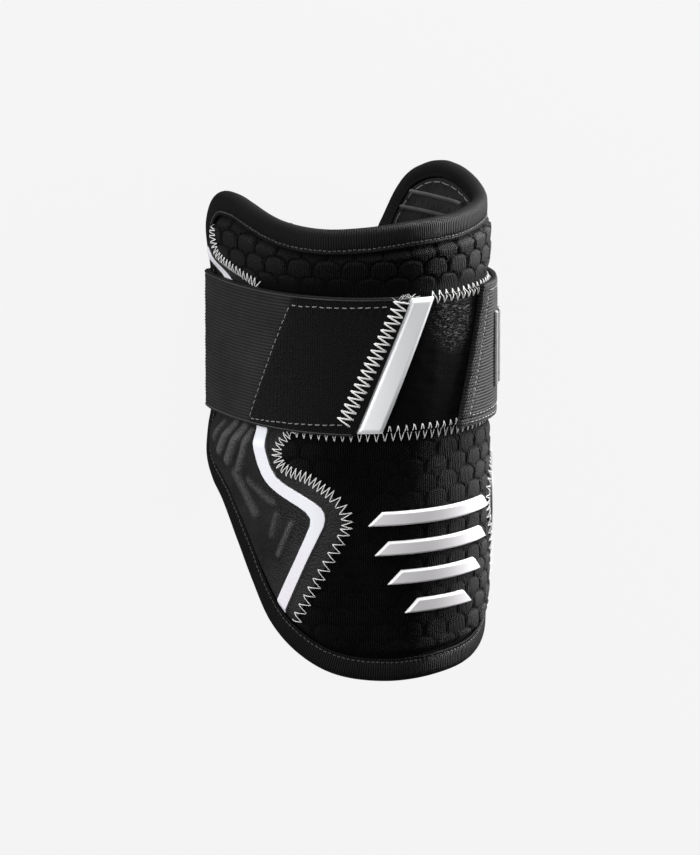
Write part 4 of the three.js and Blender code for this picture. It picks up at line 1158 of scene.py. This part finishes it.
rng = np.random.default_rng(71)
fray = []
for _ in range(26):
    height = STRAP_HIGH - rng.uniform(0.3, 5) * rng.uniform(0, 1)
    run = -slant("anchor_end", height) + rng.uniform(-1.2, 9) * rng.uniform(0, 1)
    way = rng.uniform(0.2, 2.4)
    length = rng.uniform(1.2, 3.4)
    share = np.linspace(0, 1, 7)
    curl = rng.normal(0, 0.5)
    rise = rng.uniform(-0.3, 0.9) * share * (1 - 0.4 * share)
    fray.append(np.stack([
        run - length * share * math.cos(way) + curl * share**2,
        height + length * share * math.sin(way) * 0.7,
        STRAP_THICKNESS + 0.1 + rise,
    ], axis=-1))
finish_piece(thread_piece("strap_frayed_threads", np.array(fray), 0.07, lay_strap), WHITE_THREAD, "elastic")

# Label
# A plain silver-white puffed label beside the strap's sewn end, with a low rounded border.
LABEL_BORDER = 0.75
heights = np.linspace(PATCH_LOW + 0.2, PATCH_HIGH - 0.2, 110)
label_start = slant("anchor_end", heights) + 0.5
label_stop = slant("label_end", heights) - 0.25
label_girth, label_along = rows_from(label_start, label_stop, heights, 22)
edge_reach = np.minimum(label_girth - label_start[:, None], label_stop[:, None] - label_girth)
edge_reach = np.minimum(edge_reach, np.minimum(label_along - heights[0], heights[-1] - label_along))
puff = ease(0, 1.3, edge_reach)
label_face = STRAP_BOTTOM - squeeze(label_girth)
label_top = label_face + LABEL_BORDER + 0.75 * puff
silver_label = sewn_piece("silver_label", label_girth, label_along, label_top, label_face, rim=0.3, coarse=8)
silver = moulded_material(
    "silver label film", (0.82, 0.83, 0.85), (0.74, 0.75, 0.77), grain=0.9, depth=0.006, lint=0.2,
    rough=0.36, shaded=False, Coat_Weight=0.3, Coat_Roughness=0.25, Metallic=0.1,
)
finish_piece(silver_label, silver, "label", "label")

# Tab
# The strap's free end: a folded and hemmed woven face over hook tape, pressed on the loop patch.
# Rows of grey stitches hold its hems, and two plain grey bars are moulded on it.
TAB_THICKNESS = 2.36
HEM_LOW = STRAP_LOW + 3.2
HEM_HIGH = STRAP_HIGH - 3.2
heights = np.linspace(STRAP_LOW + 0.5, STRAP_HIGH - 0.5, 240)
tab_start = slant("tab_end", heights) + 0.4
tab_stop = slant("tab_seam", heights) - 0.4
tab_girth, tab_along = rows_from(tab_start, tab_stop, heights, 84)
from_edge = np.minimum(tab_along - STRAP_LOW, STRAP_HIGH - tab_along)
from_end = tab_girth - tab_start[:, None]
tab_top = TAB_THICKNESS - 0.3 * np.exp(-(((from_edge - 3.2) / 0.7) ** 2))
tab_top -= 0.35 * np.exp(-(((from_end - 4.2) / 0.8) ** 2))
tab_top -= 0.25 * (1 - ease(0, 1.4, np.minimum(from_edge, from_end)))
tab_top += 0.1 * np.sin(tab_girth * 0.35 + 1) * np.sin(tab_along * 0.22)
on_face = ease(3.6, 4.6, from_end)
tab_top += 0.2 * on_face * (np.abs(np.sin(tab_along / 1.2 * math.pi)) ** 0.7 - 1)
tab_face = STRAP_BOTTOM - squeeze(tab_girth)
hook_tab = sewn_piece(
    "hook_tab", tab_girth, tab_along, tab_face + tab_top, tab_face, rim=0.5, coarse=8, crest=3.0 * on_face
)
woven_tape = cloth_material(
    "woven hook tape", (0.004, 0.004, 0.0042), (0.034, 0.034, 0.0345), pitch=1.2, course=0.9, depth=0.3,
    lint=0.2, turn=math.pi / 2, wander=0.1, course_depth=0.8, sheen=0.06, crest=True, specular=0.15,
    rough=0.7,
)
finish_piece(hook_tab, woven_tape, "woven", "strap_tab")


def tab_surface(girth, along):
    """Depth of the tab's sewn channels."""
    return STRAP_BOTTOM - squeeze(girth) + TAB_THICKNESS - 0.3


hem_rows = [
    [(slant("tab_end", at) + 4.6, at), (slant("tab_seam", at) - 3.0, at)]
    for at in (STRAP_LOW + 1.7, STRAP_LOW + 4.3, HEM_HIGH)
]
hem_rows.append([(slant("tab_end", at) + 4.2, at) for at in (HEM_LOW, HEM_HIGH)])
hem_rows.append([(slant("tab_seam", at) - 3.0, at) for at in (HEM_LOW, HEM_HIGH)])
hem_legs = np.concatenate([
    dashes_along(row, pitch=2.4, length=1.6, depth=tab_surface, rise=0.22, seed=61 + k)
    for k, row in enumerate(hem_rows)
])
PALE_THREAD = thread_material("pale grey thread", (0.3, 0.3, 0.305))
finish_piece(thread_piece("tab_hem_stitches", hem_legs, radius=0.22), PALE_THREAD, "woven")


def raised_bar(name, girth, along, wide, tall, depth, thickness, ends, step):
    """A moulded bar with chamfered sides. ends is how much longer its low side is than its high one."""
    high = np.linspace(-0.5, 0.5, max(9, int(tall / step)))
    reach = wide - ends * high
    across = reach[:, None] * np.linspace(-1, 1, max(9, int(2 * wide / step)))
    up = np.broadcast_to((high * tall)[:, None], across.shape)
    to_side = np.minimum(reach[:, None] - np.abs(across), tall / 2 - np.abs(up))
    chamfer = np.clip(to_side / (thickness * 0.3), 0, 1)
    ground = depth(girth + across, along + up)
    top = ground + thickness * (0.4 + 0.6 * chamfer)
    return sewn_piece(name, girth + across, along + up, top, ground, rim=0.12, coarse=6)


grey_mark = moulded_material(
    "grey moulded mark", (0.2, 0.2, 0.205), (0.28, 0.28, 0.285), grain=0.5, depth=0.03, lint=0.4, rough=0.4,
    Specular_IOR_Level=0.5,
)
for number, share in enumerate((0.27, 0.33), 1):
    bar = raised_bar(
        f"grey_bar_{number}", share * HALF_GIRTH, STRAP_MIDDLE, wide=1.3, tall=30.0,
        depth=lambda g, a: tab_surface(g, a) + 0.49, thickness=0.95, ends=0.0, step=0.4,
    )
    finish_piece(bar, grey_mark, "tab_mark", f"tab_mark_{number}")

# Front marks
# Four plain white rubber bars moulded on the knit of the tongue, with chamfered sides.
rubber = moulded_material(
    "white rubber", (0.66, 0.645, 0.66), (0.6, 0.585, 0.61), grain=0.8, depth=0.006, lint=0.2, rough=0.42,
    shaded=False, Specular_IOR_Level=0.5,
)
BARS = [(-0.263, 0.225), (-0.395, 0.205), (-0.526, 0.165), (-0.658, 0.11)]
for number, (at, wide) in enumerate(BARS, 1):
    bar = raised_bar(
        f"white_bar_{number}", 0.02 * HALF_GIRTH, at * TONGUE_REACH, wide * HALF_GIRTH, tall=5.4,
        depth=lambda g, a: pad_face(g, a) + GAP, thickness=1.75, ends=5.4, step=0.25,
    )
    finish_piece(bar, rubber, "mark", f"front_mark_{number}")

# Floor, lights and camera
# A pale paper sheet in a soft-lit studio: a tall softbox in front on the left, one at the right a little
# behind the guard, a wide one over its top and a weak fill beside the camera.
sheet_mesh = bpy.data.meshes.new("studio_floor")
sheet_mesh.from_pydata([(-6, -6, 0), (6, -6, 0), (6, 6, 0), (-6, 6, 0)], [], [(0, 1, 2, 3)])
studio_floor = bpy.data.objects.new("studio_floor", sheet_mesh)
studio_floor.location.z = -0.0002
studio_floor.visible_glossy = False
bpy.context.scene.collection.objects.link(studio_floor)
paper = new_material(
    "pale lit paper", Base_Color=(0.02, 0.02, 0.02, 1), Roughness=1, Specular_IOR_Level=0,
    Emission_Color=(1, 1, 1, 1), Emission_Strength=0.885
)[0]
studio_floor.data.materials.append(paper)

TARGET = np.array([0.0, -STRAP_MIDDLE, LIFT - 5.7]) * MM
BACK = np.array([-0.5749, 0.2079, 0.7913])
UP = np.array([0.1222, 0.9781, -0.1682])
RIGHT = np.cross(UP, BACK)


def facing(name, data, place, towards_back):
    """An object looking along minus towards_back, its top up."""
    back = towards_back / np.linalg.norm(towards_back)
    right = np.cross(UP, back)
    right /= np.linalg.norm(right)
    piece = bpy.data.objects.new(name, data)
    rows = np.column_stack([right, np.cross(back, right), back, place])
    piece.matrix_world = Matrix([*rows.tolist(), (0, 0, 0, 1)])
    bpy.context.scene.collection.objects.link(piece)
    return piece


camera_data = bpy.data.cameras.new("camera")
camera_data.lens = 273.7
camera_data.sensor_width = 36
camera_data.clip_end = 20
bpy.context.scene.camera = facing("camera", camera_data, TARGET + 2.6 * BACK + 0.001 * UP, BACK)

SOFTBOXES = {
    "left_box": ((-0.7, 0.15, 0.78), (0.25, 1.0), 9.0),
    "right_box": ((0.85, 0.38, -0.4), (0.3, 0.8), 30.0),
    "top_box": ((0.3, 0.95, 0.15), (0.9, 0.3), 26.0),
    "front_fill": ((0.0, 0.1, 1.6), (1.6, 1.6), 7.5),
}
for name, ((right, up, back), (width, height), power) in SOFTBOXES.items():
    light = bpy.data.lights.new(name, "AREA")
    light.shape = "RECTANGLE"
    light.size, light.size_y = width, height
    light.energy = power
    away = right * RIGHT + up * UP + back * BACK
    facing(name, light, TARGET + away, away)
world = bpy.data.worlds.new("studio")
world.use_nodes = True
background = world.node_tree.nodes["Background"].inputs
background["Color"].default_value = (1, 1, 1, 1)
background["Strength"].default_value = 0.1
bpy.context.scene.world = world
bpy.context.scene.view_settings.view_transform = "Standard"
